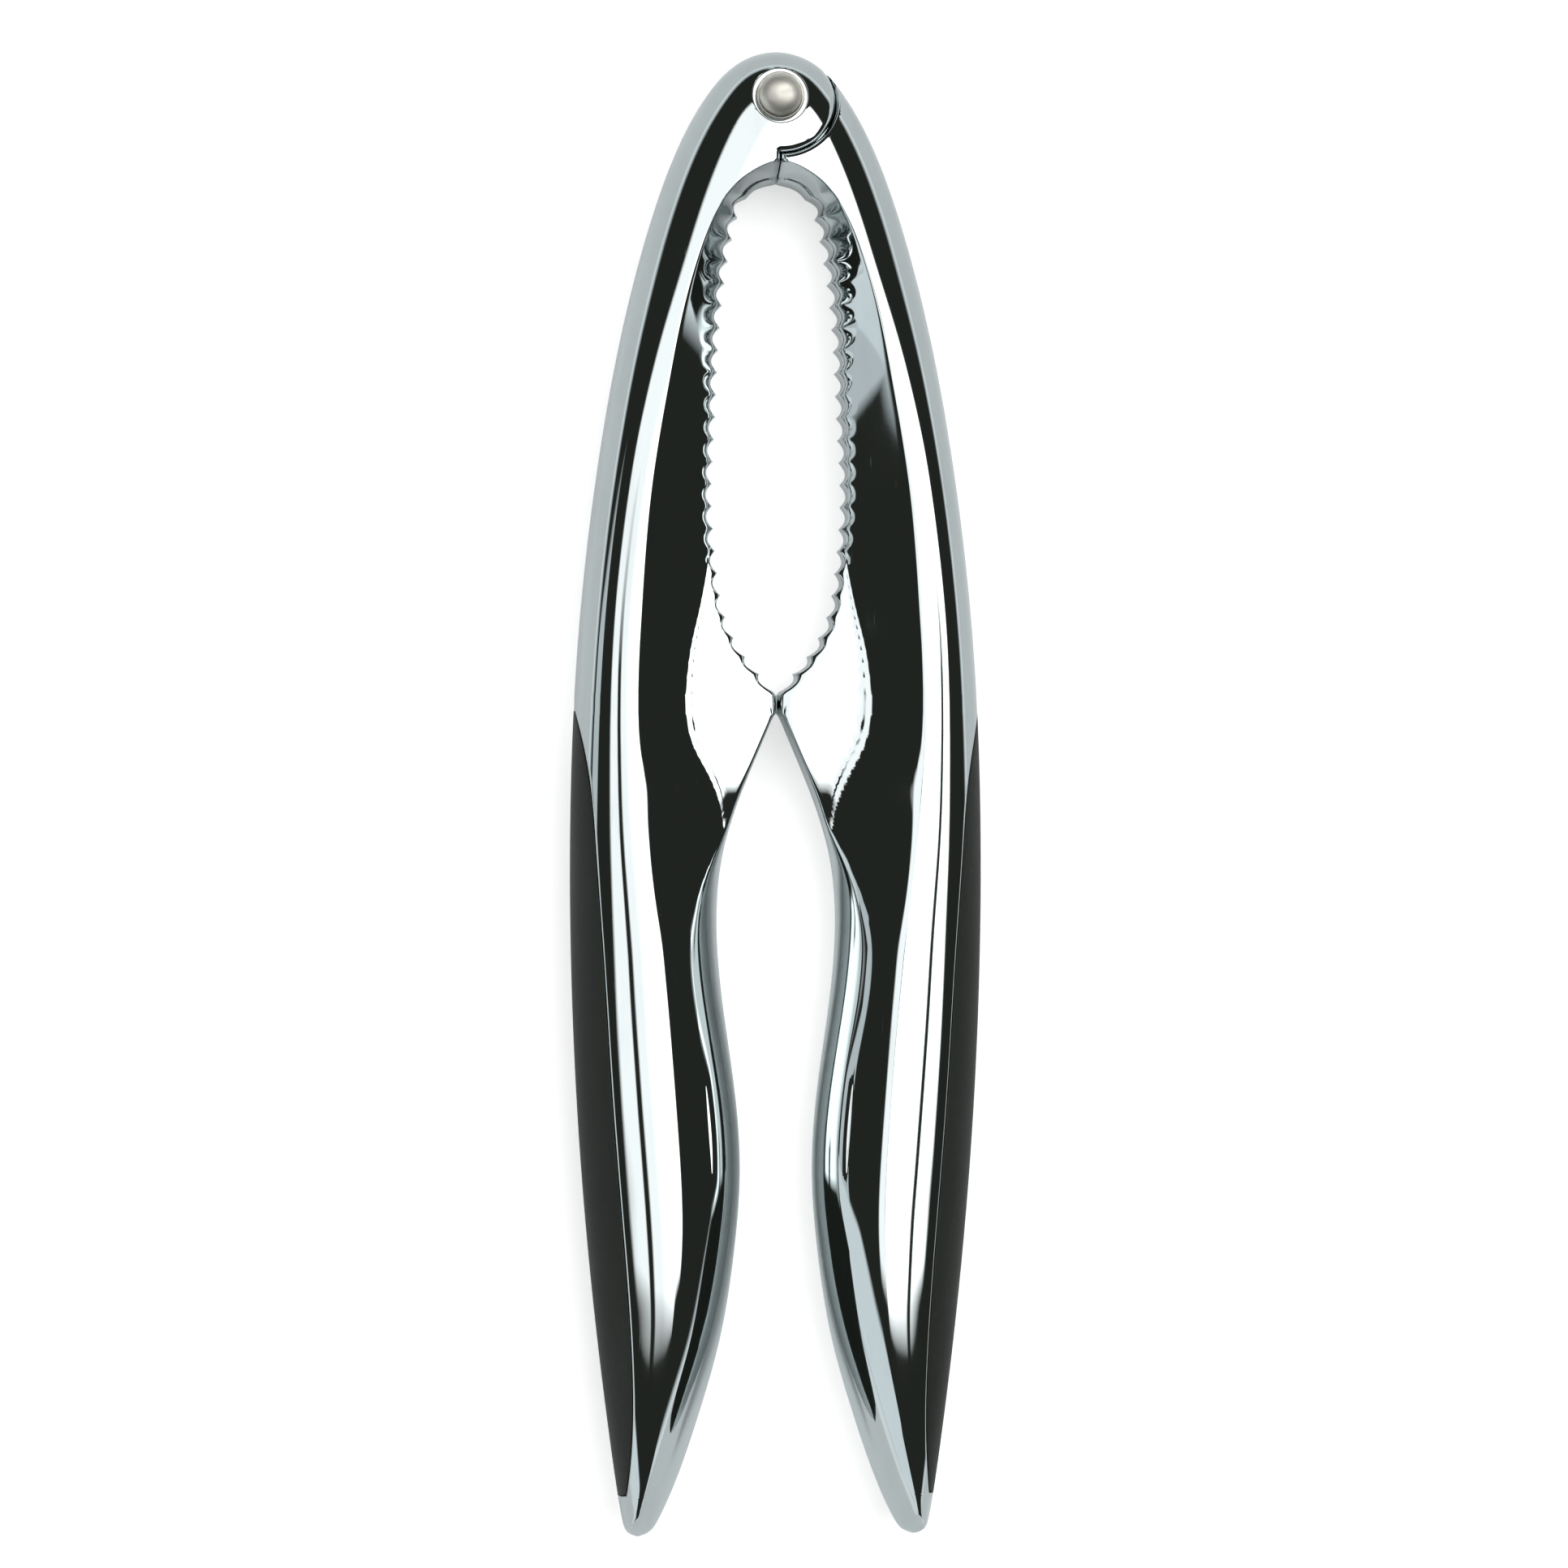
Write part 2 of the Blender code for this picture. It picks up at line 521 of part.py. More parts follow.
def make_grip(collection, cutters):
    """Left grip: the outer flank outside the pocket's wall, with two pegs into the lever."""
    share = (1 - np.cos(np.linspace(0, math.pi, GRIP_STATIONS))) / 2
    y = GRIP_LOW + share * (GRIP_HIGH - 2 * HALF_GAP - GRIP_LOW)
    outer = leg_outer_points(y)
    width = np.maximum(grip_inset(y, 0) - HALF_GAP, GRIP_THINNEST)
    width *= bulge((y - GRIP_LOW) / GRIP_END_ROUNDING)
    width[-1] = 0
    normals = inward_normals(outer)
    places = np.array(GRIP_ACROSS)[None, :] * width[:, None]
    plan = outer[:, None, :] + normals[:, None, :] * places[..., None]
    flat = plan.reshape(-1, 2)
    heights = half_height(flat).reshape(places.shape)
    rounding = np.minimum(width, WALL_ROUNDING)[:, None]
    heights *= bulge((width[:, None] - places) / np.maximum(rounding, GRIP_THINNEST))
    heights[:, [0, -1]] = 0
    pad = half_shell("grip_pad", plan, heights, cutters)
    pad.location = (0, PIVOT_Y, HALF_THICKNESS)
    for number, y_peg in enumerate(PEG_PLACES, start=1):
        wall = peg_wall(y_peg)
        peg = cylinder(f"grip_peg_{number}", PEG_RADIUS, wall - PEG_OVERLAP, wall + PEG_LENGTH - TOUCH_GAP,
                       cutters, y=y_peg - PIVOT_Y, along_x=True)
        add_boolean(pad, peg, "UNION")
    grip = baked(pad, "left_grip", collection)
    hide_cutter(pad)
    return grip


def turned(name, profile_points, collection):
    """Solid turned about the pivot axis from a profile of (radius, height) pairs, run from top to bottom."""
    mesh = bpy.data.meshes.new(name)
    points = [(radius, 0, height) for radius, height in profile_points]
    mesh.from_pydata(points, [(i, i + 1) for i in range(len(points) - 1)], [])
    obj = new_object(name, mesh, collection)
    obj.location = (0, PIVOT_Y, HALF_THICKNESS)
    screw = obj.modifiers.new("turn", "SCREW")
    screw.steps = ROUND_SEGMENTS
    screw.render_steps = ROUND_SEGMENTS
    screw.use_merge_vertices = True
    screw.merge_threshold = SCREW_MERGE
    screw.use_smooth_shade = True
    return obj


def dome_profile(radius, rim, top):
    """Dome from its crown at the axis down to its rim."""
    angles = [math.pi / 2 * i / DOME_STEPS for i in range(DOME_STEPS + 1)]
    return [(radius * math.sin(angle), rim + (top - rim) * math.cos(angle)) for angle in angles]


def make_pivot(collection):
    """Post with the domed front head, and the socket with the flatter rear head that it is pressed into."""
    rim = HEAD_SEAT + RIVET_RIM
    post = dome_profile(RIVET_HEAD_RADIUS, rim, rim + POST_DOME)
    post += [(RIVET_HEAD_RADIUS, HEAD_SEAT), (SHANK_RADIUS, HEAD_SEAT), (SHANK_RADIUS, SHANK_END), (0, SHANK_END)]
    inside = SHANK_RADIUS + TOUCH_GAP
    socket = [(0, SHANK_END - TOUCH_GAP), (inside, SHANK_END - TOUCH_GAP), (inside, SOCKET_TOP),
              (SOCKET_RADIUS, SOCKET_TOP), (SOCKET_RADIUS, -HEAD_SEAT), (RIVET_HEAD_RADIUS, -HEAD_SEAT)]
    back = dome_profile(RIVET_HEAD_RADIUS, rim, rim + SOCKET_DOME)
    socket += [(radius, -height) for radius, height in reversed(back)]
    return turned("pivot_post", post, collection), turned("pivot_socket", socket, collection)


def turned_over(obj, name, collection):
    """The same piece on the right lever: half a turn about the long axis through the pivot."""
    copy = new_object(name, obj.data.copy(), collection)
    copy.location = obj.location
    copy.rotation_euler = (0, math.pi, 0)
    return copy


def paint(obj, name, colour, metallic, roughness):
    material = bpy.data.materials.new(name)
    material.use_nodes = True
    shader = material.node_tree.nodes["Principled BSDF"]
    shader.inputs["Base Color"].default_value = (*colour, 1)
    shader.inputs["Metallic"].default_value = metallic
    shader.inputs["Roughness"].default_value = roughness
    obj.data.materials.clear()
    obj.data.materials.append(material)


def new_collection(name):
    collection = bpy.data.collections.new(name)
    bpy.context.scene.collection.children.link(collection)
    return collection


def hang(name, children, collection):
    """Empty at the pivot that carries the pieces of one lever."""
    empty = new_object(name, None, collection)
    empty.location = (0, PIVOT_Y, HALF_THICKNESS)
    bpy.context.view_layer.update()
    for child in children:
        child.parent = empty
        child.matrix_parent_inverse = empty.matrix_world.inverted()


def main():
    for obj in list(bpy.data.objects):
        bpy.data.objects.remove(obj, do_unlink=True)
    parts = new_collection("nutcracker")
    cutters = new_collection("nutcracker_cutters")
    left_lever = make_lever(parts, cutters)
    left_grip = make_grip(parts, cutters)
    right_lever = turned_over(left_lever, "right_lever", parts)
    right_grip = turned_over(left_grip, "right_grip", parts)
    post, socket = make_pivot(parts)
    for lever in (left_lever, right_lever):
        paint(lever, f"{lever.name}_chrome", *CHROME)
    for grip in (left_grip, right_grip):
        paint(grip, f"{grip.name}_rubber", *RUBBER)
    paint(post, "post_satin_steel", *SATIN_STEEL)
    paint(socket, "socket_satin_steel", *SATIN_STEEL)
    for obj in (left_lever, right_lever, left_grip, right_grip):
        obj.data.shade_smooth()
        obj.data.set_sharp_from_angle(angle=SHARP_ANGLE)
    hang("left_half", (left_lever, left_grip, post, socket), parts)
    hang("right_half", (right_lever, right_grip), parts)
    cutters.hide_render = True


main()
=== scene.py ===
import json
import math

import bpy
import numpy as np
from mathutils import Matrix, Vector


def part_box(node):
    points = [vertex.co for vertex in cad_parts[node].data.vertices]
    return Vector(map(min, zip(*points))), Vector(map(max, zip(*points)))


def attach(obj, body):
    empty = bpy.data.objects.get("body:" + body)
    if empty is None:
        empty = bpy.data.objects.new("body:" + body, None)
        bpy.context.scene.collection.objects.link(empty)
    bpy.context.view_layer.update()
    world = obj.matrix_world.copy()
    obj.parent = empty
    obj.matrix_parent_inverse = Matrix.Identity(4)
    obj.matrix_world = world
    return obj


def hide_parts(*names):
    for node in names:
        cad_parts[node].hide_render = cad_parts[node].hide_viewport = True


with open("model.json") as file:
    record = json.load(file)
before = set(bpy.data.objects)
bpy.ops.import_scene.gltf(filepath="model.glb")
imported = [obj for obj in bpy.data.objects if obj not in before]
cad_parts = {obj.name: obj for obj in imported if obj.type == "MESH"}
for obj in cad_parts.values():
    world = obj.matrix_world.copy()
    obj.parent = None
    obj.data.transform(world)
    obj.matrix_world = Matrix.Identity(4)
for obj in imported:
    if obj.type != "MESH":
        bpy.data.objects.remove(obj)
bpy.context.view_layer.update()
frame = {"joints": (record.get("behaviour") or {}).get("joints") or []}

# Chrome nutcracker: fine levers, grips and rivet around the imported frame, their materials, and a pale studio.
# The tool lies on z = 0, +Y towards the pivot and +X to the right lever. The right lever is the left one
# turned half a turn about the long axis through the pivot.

MM = 0.001
TINY = MM / 1000

PIVOT = frame["joints"][0]["pos_m"]
PIVOT_Y = PIVOT[1]
MID_Z = PIVOT[2]
HALF_THICKNESS = MID_Z

# Pivot and its lap joint.
JOINT_GAP = 0.1 * MM
HALF_GAP = JOINT_GAP / 2
EAR_RADIUS = 7.1 * MM
EAR_CLEARANCE_RADIUS = EAR_RADIUS + JOINT_GAP
NOTCH_ANGLE = math.radians(29.5)
BORE_RADIUS = 2.5 * MM
RECESS_RADIUS = 3.4 * MM
RECESS_FLOOR = 5.2 * MM
RECESS_ROUNDING = 0.22 * MM
LAP_ROUNDING = 0.85 * MM
RIM_TURN = math.radians(75)
OPEN_END = 12 * MM

# Rivet, beyond what the CAD pieces' boxes say.
RIVET_GAP = 0.3 * MM
HEAD_RIM_RISE = 0.8 * MM
HEAD_CORNER = 0.25 * MM
SHANK_RADIUS = 1.3 * MM

# Plan outline of the left lever, from the handle tip upwards (x, y) in mm.
TIP = (-17.2, -92.5)
OUTER_EDGE = [TIP, (-18.6, -91.9), (-19.2, -90.4), (-19.8, -87), (-20.8, -80), (-22.3, -68), (-24.3, -47),
              (-25.5, -24), (-25.65, -2), (-24.7, 19), (-22.35, 40), (-18.9, 59), (-15.4, 72), (-12.0, 81),
              (-8.5, 87.2), (-4.7, 91.1)]
HEAD_TOP = (0, 92.5)
HANDLE_EDGE = [TIP, (-15.8, -91.9), (-14.7, -90.4), (-12.8, -86.3), (-9.6, -77.2), (-7, -68), (-5.2, -57),
               (-4.5, -47.5), (-5.2, -36.5), (-6.6, -26.5), (-7.4, -16.4), (-6.9, -9), (-5.1, -2),
               (-2.7, 4.2), (-0.5, 9.4)]
NOSE_EDGE = [(-0.04, 10), (-0.04, 12.2)]
JAW_EDGE = [(-0.04, 12.2), (-1.3, 13.9), (-4, 17.3), (-6.1, 21.3), (-7.4, 28), (-8, 37), (-7.6, 46),
            (-7.2, 55), (-6.6, 62), (-5.3, 70), (-4.3, 73.2), (-2.7, 75.2), (-0.08, 76)]

# Crest of the rail, where the web or the face strip meets the rounded outer flank (x, y) in mm.
CREST_LINE = [(2, 78.1), (0, 78.3), (-3.2, 77.2), (-5.9, 75.1), (-8, 72), (-11, 64.8), (-14, 51),
              (-16.2, 38), (-17.6, 20), (-17.9, 8), (-17.3, -2), (-16.2, -12), (-14.8, -25), (-13.4, -42),
              (-12.9, -53), (-13.7, -68), (-15.3, -80), (-17, -91)]

# Section of the lever along its length: (y, value) in mm.
TAPER_START = -58 * MM
TAPER_END = -92.5 * MM
TIP_DROP = 3 * MM
FLANK_WIDTH = [(-92.5, 3.6), (-84, 5), (-75, 7), (-63, 9.8), (-50, 10.7), (-22, 10), (0, 7.9), (25, 6.6),
               (40, 6.6), (55, 7.8), (68, 9.2), (80, 9.6), (87, 9.4), (92.5, 8)]
FLANK_POWER = [(-92.5, 2), (-75, 2.1), (-45, 2.1), (0, 2.2), (30, 2.3), (50, 2.2), (68, 2), (92.5, 2)]
WEB_WIDTH = [(-92.5, 2.4), (-80, 3), (-68, 3.9), (-53, 4.7), (-40, 4.6), (-22, 5), (-14, 6.6), (-9, 8.8),
             (-4, 10.6), (-1, 10.5), (2, 9.8), (6, 7.4), (11, 6.6), (17, 6.8), (24, 8), (31, 8.6), (38, 8.5),
             (51, 7.2), (58, 6.1), (65, 4.9), (72, 2.9), (75, 2.4), (78.5, 2.1)]
WEB_BASE = [(-92.5, 2.6), (-85, 3.4), (-75, 4.3), (-60, 4.7), (-30, 4.7), (-20, 4.6), (-14, 3.7), (-9, 2.6),
            (-4, 2.15), (-0.5, 2.65), (5, 2.85), (13, 2.8), (20, 2.5), (30, 2), (40, 1.9), (92.5, 1.9)]
EDGE_RISE = [(-92.5, 4.6), (-85, 6), (-75, 7.1), (-60, 7.7), (-25, 7.6), (-15, 7), (-9, 5.6), (-4, 3.8),
             (0, 3), (5, 3.2), (14, 3.2), (40, 2.4), (92.5, 3)]
EDGE_WIDTH = [(-92.5, 4.2), (-84, 5.4), (-74, 6.6), (-58, 7.4), (-25, 7.2), (-15, 6.2), (-9, 4.4), (-4, 1.9),
              (0, 0.9), (5, 0.6), (10, 0.6), (15, 1), (40, 0.7), (92.5, 0.7)]
WEB_HOLLOW = [(-92.5, 0.9), (-22, 0.93), (-10, 1.02), (-4, 1.05), (3, 1.05), (20, 1.03),
              (34, 1), (60, 1), (92.5, 1.1)]
EDGE_POWER = [(-92.5, 1.25), (-12, 1.25), (0, 2), (92.5, 2)]
EDGE_RUNOUT = 4
BEVEL_DROP = [(-92.5, 0), (8.5, 0), (14, 0.4), (50, 0.4), (66, 0.2), (92.5, 0.2)]
BEVEL_WIDTH = 0.95 * MM
WEB_SLOPE = 0.05
BLEND = 0.4 * MM
POCKET_ROUNDING = 0.14 * MM
GRIP_ROUNDING = 0.22 * MM

# Teeth along the jaw.
TOOTH_COUNT = 23
TOOTH_DEPTH = 0.9 * MM
TOOTH_FADE = [(-92.5, 1.7), (30, 1.7), (46, 1.9), (56, 2.6), (64, 3.4), (72, 3.6), (92.5, 3.6)]
TOOTH_FADE_POWER = 2
CUSP_REACH = 1.6 * MM
TEETH_START = 0.6 * MM
TEETH_END = 4.2 * MM

# Soft grip: how far its inner wall lies in from the outer edge, (y, width) in mm.
GRIP_WIDTH = [(-87.2, 0.9), (-84, 1.7), (-75, 3.2), (-66, 3.9), (-50, 4.2), (-35, 4.05), (-22, 3.75),
              (-7, 2.85), (3, 1.75), (10.4, 0)]
GRIP_LOW = -87.2 * MM
GRIP_HIGH = 10.4 * MM
GRIP_END_ROUNDING = 0.5 * MM
GRIP_GAP = 0.05 * MM
SHOULDER_STEP = 0.02 * MM

# Mesh resolution.
PATH_SPACING = 0.2 * MM
PROFILE_START, PROFILE_END = -100 * MM, 100 * MM
PROFILE_SPACING = 0.25 * MM
PROFILE_SOFTNESS = 1.6 * MM
TOOTH_STEPS = 16
HANDLE_STATIONS = 260
MOUTH_TOP_STATIONS = 24
SPLIT_STATIONS = 16
EAR_STATIONS = 80
EAR_PATH_STEPS = 4 * EAR_STATIONS
EDGE_STEPS, WEB_STEPS, FLANK_STEPS = 10, 26, 30
WIDEST_EDGE, FARTHEST_CREST = 0.25, 0.9
CROSSING_SAMPLES = 41
RIM_STEPS = 8
DOME_STEPS, SHOULDER_STRIDE = 28, 4
GRIP_STATIONS = 220
GRIP_STEPS = 26
ROUND_SEGMENTS = 144
FAN_START = 66 * MM
SHARP_ANGLE = math.radians(55)


# ---------------------------------------------------------------- curves

def natural_spline(knots, values, wanted):
    """Smooth curve through the knots with no curvature at its ends."""
    knots = np.asarray(knots, float)
    values = np.asarray(values, float)
    count = len(knots)
    gaps = np.diff(knots)
    system = np.eye(count)
    right_side = np.zeros((count,) + values.shape[1:])
    slopes = np.diff(values, axis=0) / gaps.reshape((-1,) + (1,) * (values.ndim - 1))
    for i in range(1, count - 1):
        system[i, i - 1 : i + 2] = gaps[i - 1], 2 * (gaps[i - 1] + gaps[i]), gaps[i]
        right_side[i] = 6 * (slopes[i] - slopes[i - 1])
    bend = np.linalg.solve(system, right_side)
    wanted = np.clip(np.asarray(wanted, float), knots[0], knots[-1])
    piece = np.clip(np.searchsorted(knots, wanted, side="right") - 1, 0, count - 2)
    gap = gaps[piece]
    before = wanted - knots[piece]
    after = knots[piece + 1] - wanted
    if values.ndim == 2:
        gap, before, after = gap[:, None], before[:, None], after[:, None]
    return (
        (bend[piece] * after**3 + bend[piece + 1] * before**3) / (6 * gap)
        + (values[piece] / gap - bend[piece] * gap / 6) * after
        + (values[piece + 1] / gap - bend[piece + 1] * gap / 6) * before
    )


def lengths_along(path):
    return np.concatenate([[0], np.cumsum(np.linalg.norm(np.diff(path, axis=0), axis=1))])


def smooth_path(points_mm):
    """Dense smooth curve through a few plan points."""
    points = np.asarray(points_mm, float) * MM
    travelled = lengths_along(points)
    count = max(2, int(travelled[-1] / PATH_SPACING))
    return natural_spline(travelled, points, np.linspace(0, travelled[-1], count))


def at_lengths(path, wanted):
    travelled = lengths_along(path)
    return np.stack([np.interp(wanted, travelled, path[:, axis]) for axis in (0, 1)], axis=-1)


def steady_curve(knots, values, wanted):
    """Curve through the knots that never swings past a value between two of them."""
    gaps = np.diff(knots)
    slopes = np.diff(values) / gaps
    before, after = slopes[:-1], slopes[1:]
    level = before * after <= 0
    total = np.where(level, 1, before + after)
    tangents = np.concatenate([[0], np.where(level, 0, 2 * before * after / total), [0]])
    wanted = np.clip(wanted, knots[0], knots[-1])
    piece = np.clip(np.searchsorted(knots, wanted, side="right") - 1, 0, len(gaps) - 1)
    share = (wanted - knots[piece]) / gaps[piece]
    rise = share**2 * (3 - 2 * share)
    leave = share * (1 - share) ** 2 * gaps[piece] * tangents[piece]
    arrive = share**2 * (share - 1) * gaps[piece] * tangents[piece + 1]
    return values[piece] + (values[piece + 1] - values[piece]) * rise + leave + arrive


def profile(table_mm, y):
    """A section length along the lever: the table's steady curve, softened over a few millimetres."""
    table = np.asarray(table_mm, float) * MM
    places = np.arange(PROFILE_START, PROFILE_END, PROFILE_SPACING)
    reach = int(3 * PROFILE_SOFTNESS / PROFILE_SPACING)
    weights = np.exp(-0.5 * (np.arange(-reach, reach + 1) * PROFILE_SPACING / PROFILE_SOFTNESS) ** 2)
    values = np.pad(steady_curve(table[:, 0], table[:, 1], places), reach, mode="edge")
    return np.interp(y, places, np.convolve(values, weights / weights.sum(), mode="valid"))


def plain_profile(table_mm, y):
    """A profile whose values are pure numbers and not lengths."""
    return profile(table_mm, y) / MM


def distance_to(path, points, chunk=4000):
    """Distance of each plan point to a path, and which side of it the point is on."""
    start = path[:-1]
    run = path[1:] - start
    squares = (run**2).sum(-1)
    apart = np.empty(len(points))
    side = np.empty(len(points))
    for first in range(0, len(points), chunk):
        part = points[first : first + chunk]
        offset_x = part[:, :1] - start[:, 0]
        offset_y = part[:, 1:] - start[:, 1]
        along = np.clip((offset_x * run[:, 0] + offset_y * run[:, 1]) / squares, 0, 1)
        miss = (offset_x - along * run[:, 0]) ** 2 + (offset_y - along * run[:, 1]) ** 2
        nearest = miss.argmin(axis=1)
        rows = np.arange(len(part))
        apart[first : first + chunk] = np.sqrt(miss[rows, nearest])
        turn = run[nearest, 0] * offset_y[rows, nearest] - run[nearest, 1] * offset_x[rows, nearest]
        side[first : first + chunk] = turn
    return apart, side


def bulge(ratio, power=2.0):
    """Quarter of a superellipse: 0 with an upright tangent at 0, and 1 from 1 on."""
    return (1 - (1 - np.clip(ratio, 0, 1)) ** power) ** (1 / power)


def smooth_lower(first, second):
    """The lower of two heights, blended where they cross."""
    near = np.clip(1 - np.abs(first - second) / BLEND, 0, 1)
    return np.minimum(first, second) - near**2 * BLEND / 4


# ---------------------------------------------------------------- the lever's shape

def outline_paths():
    """The arch over both levers, and the left lever's inner boundary in its four stretches."""
    mirrored = [(-x, y) for x, y in reversed(OUTER_EDGE)]
    arch = smooth_path(OUTER_EDGE + [HEAD_TOP] + mirrored)
    handle = np.vstack([smooth_path(HANDLE_EDGE), np.array(NOSE_EDGE[0]) * MM])
    jaw = smooth_path(JAW_EDGE)
    ear_start = -math.pi / 2 - math.asin(HALF_GAP / EAR_RADIUS)
    angles = np.linspace(ear_start, NOTCH_ANGLE, EAR_PATH_STEPS)
    ear = np.stack([EAR_RADIUS * np.cos(angles), PIVOT_Y + EAR_RADIUS * np.sin(angles)], axis=-1)
    split = np.array([jaw[-1], ear[0]])
    return arch, handle, jaw, split, ear


ARCH, HANDLE, JAW, SPLIT, EAR = outline_paths()
LEFT_ARCH = ARCH[: len(ARCH) // 2]
INNER_EDGE = np.vstack([HANDLE, JAW])
LAP_EDGE = np.vstack([SPLIT, EAR[1:]])
CREST = smooth_path(CREST_LINE)


def crest_heights(y):
    """Level along the whole lever, then falling in a parabola to the handle tip."""
    down = np.clip((TAPER_START - y) / (TAPER_START - TAPER_END), 0, 1)
    return HALF_THICKNESS + BLEND / 4 - TIP_DROP * down**2


def half_height(points):
    """Half the casting's thickness at each plan point, before any cut."""
    y = points[:, 1]
    from_outline, _ = distance_to(ARCH, points)
    from_inner, _ = distance_to(INNER_EDGE, points)
    from_crest, crest_side = distance_to(CREST, points)
    crest_height = crest_heights(y)
    flank = crest_height * bulge(from_outline / profile(FLANK_WIDTH, y), plain_profile(FLANK_POWER, y))
    rise = np.where(crest_side > 0, from_crest, 0) / profile(WEB_WIDTH, y)
    base = profile(WEB_BASE, y) + WEB_SLOPE * from_inner
    hollow = (1 - np.clip(rise, 0, 1)) ** plain_profile(WEB_HOLLOW, y)
    bevel = profile(BEVEL_DROP, y) * (1 - np.clip(from_inner / BEVEL_WIDTH, 0, 1))
    web = base + (crest_height - base) * hollow - bevel
    edge_width = profile(EDGE_WIDTH, y)
    edge = profile(EDGE_RISE, y) * bulge(from_inner / edge_width, plain_profile(EDGE_POWER, y))
    edge += EDGE_RUNOUT * np.maximum(from_inner - edge_width, 0)
    return smooth_lower(flank, smooth_lower(web, edge))


def tooth_cut(travelled, jaw_length):
    """Depth of the scallops along the jaw, with a pointed cusp between each two."""
    span = jaw_length - TEETH_START - TEETH_END
    phase = (travelled - TEETH_START) / span * TOOTH_COUNT
    inside = (phase >= 0) & (phase <= TOOTH_COUNT)
    across = 2 * (phase - np.floor(phase)) - 1
    return np.where(inside, TOOTH_DEPTH * (1 - across**2), 0)


def jaw_lengths(jaw_length):
    """Stations along the jaw: the steps of each scallop, then the smooth mouth top."""
    teeth_stop = jaw_length - TEETH_END
    teeth = np.linspace(TEETH_START, teeth_stop, TOOTH_COUNT * TOOTH_STEPS, endpoint=False)
    top = np.linspace(teeth_stop, jaw_length, MOUTH_TOP_STATIONS)
    return np.concatenate([[0, TEETH_START / 2], teeth, top])


def leg_outer_points(y):
    """Points of the left outline at these heights."""
    return np.stack([np.interp(y, LEFT_ARCH[:, 1], LEFT_ARCH[:, 0]), y], axis=-1)


def inward_normals(points):
    """Unit vectors from the left outline into the lever."""
    run = np.gradient(LEFT_ARCH, axis=0)
    run = run / np.linalg.norm(run, axis=1, keepdims=True)
    turned = np.stack([run[:, 1], -run[:, 0]], axis=-1)
    return np.stack([np.interp(points[:, 1], LEFT_ARCH[:, 1], turned[:, axis]) for axis in (0, 1)], axis=-1)


def grip_inset(y, clearance):
    """Width of the grip, or of its pocket, at these heights; 0 past its ends."""
    table = np.asarray(GRIP_WIDTH, float) * MM
    width = natural_spline(table[:, 0], table[:, 1], y) + clearance
    low = GRIP_LOW - clearance
    return np.where((y >= low) & (y <= GRIP_HIGH), np.maximum(width, 0), 0)


def handle_stations():
    """Plan points up the handle's inner edge, closest at the tip, with two at the grip's lower shoulder."""
    handle_length = lengths_along(HANDLE)[-1]
    slow_start = handle_length * (1 - np.cos(np.linspace(0, math.pi / 2, HANDLE_STATIONS)))
    even = np.linspace(0, handle_length, HANDLE_STATIONS)
    handle = at_lengths(HANDLE, (slow_start + even) / 2)
    shoulder_y = GRIP_LOW - GRIP_GAP / 2 + SHOULDER_STEP * np.array([-1, 1])
    shoulder = np.stack([np.interp(shoulder_y, HANDLE[:, 1], HANDLE[:, 0]), shoulder_y], axis=-1)
    handle = np.vstack([handle, shoulder])
    return handle[np.argsort(handle[:, 1])]


def inner_stations():
    """Plan points along the whole inner boundary, the scallop depth at each, and the count before the lap."""
    handle = handle_stations()
    jaw_length = lengths_along(JAW)[-1]
    jaw_at = jaw_lengths(jaw_length)
    jaw = at_lengths(JAW, jaw_at)
    split = np.linspace(SPLIT[0], SPLIT[1], SPLIT_STATIONS + 1)[1:]
    ear = at_lengths(EAR, np.linspace(0, lengths_along(EAR)[-1], EAR_STATIONS))[1:]
    no_lap_cut = np.zeros(len(split) + len(ear))
    cut = np.concatenate([np.zeros(len(handle)), tooth_cut(jaw_at, jaw_length), no_lap_cut])
    return np.vstack([handle, jaw, split, ear]), cut, len(handle) + len(jaw)


def outer_stations(inner, before_lap):
    """Matching points of the outline, level with the inner ones and then fanned round the head."""
    outer = leg_outer_points(inner[:, 1])
    arch_lengths = lengths_along(ARCH)
    middle = len(LEFT_ARCH)
    fan_from = np.interp(FAN_START, LEFT_ARCH[:, 1], arch_lengths[:middle])
    gap_to_notch = np.linalg.norm(ARCH[middle:] - EAR[-1], axis=1)
    fan_to = arch_lengths[middle:][gap_to_notch.argmin()]
    travelled = lengths_along(inner)
    fan = (inner[:, 1] > FAN_START) | (np.arange(len(inner)) > before_lap)
    first = travelled[fan][0]
    share = np.clip((travelled - first) / (travelled[-1] - first), 0, 1)
    outer[fan] = at_lengths(ARCH, fan_from + share[fan] * (fan_to - fan_from))
    outer[-1] = inner[-1]
    return outer, fan


def lever_stations():
    """Matching inner and outer plan points of each station, and the pocket inset and scallop depth there."""
    inner, cut, before_lap = inner_stations()
    outer, fan = outer_stations(inner, before_lap)
    inset = grip_inset(outer[:, 1], GRIP_GAP / 2)
    inset[fan] = 0
    outer = outer + inward_normals(outer) * inset[:, None]
    return inner, outer, inset, cut


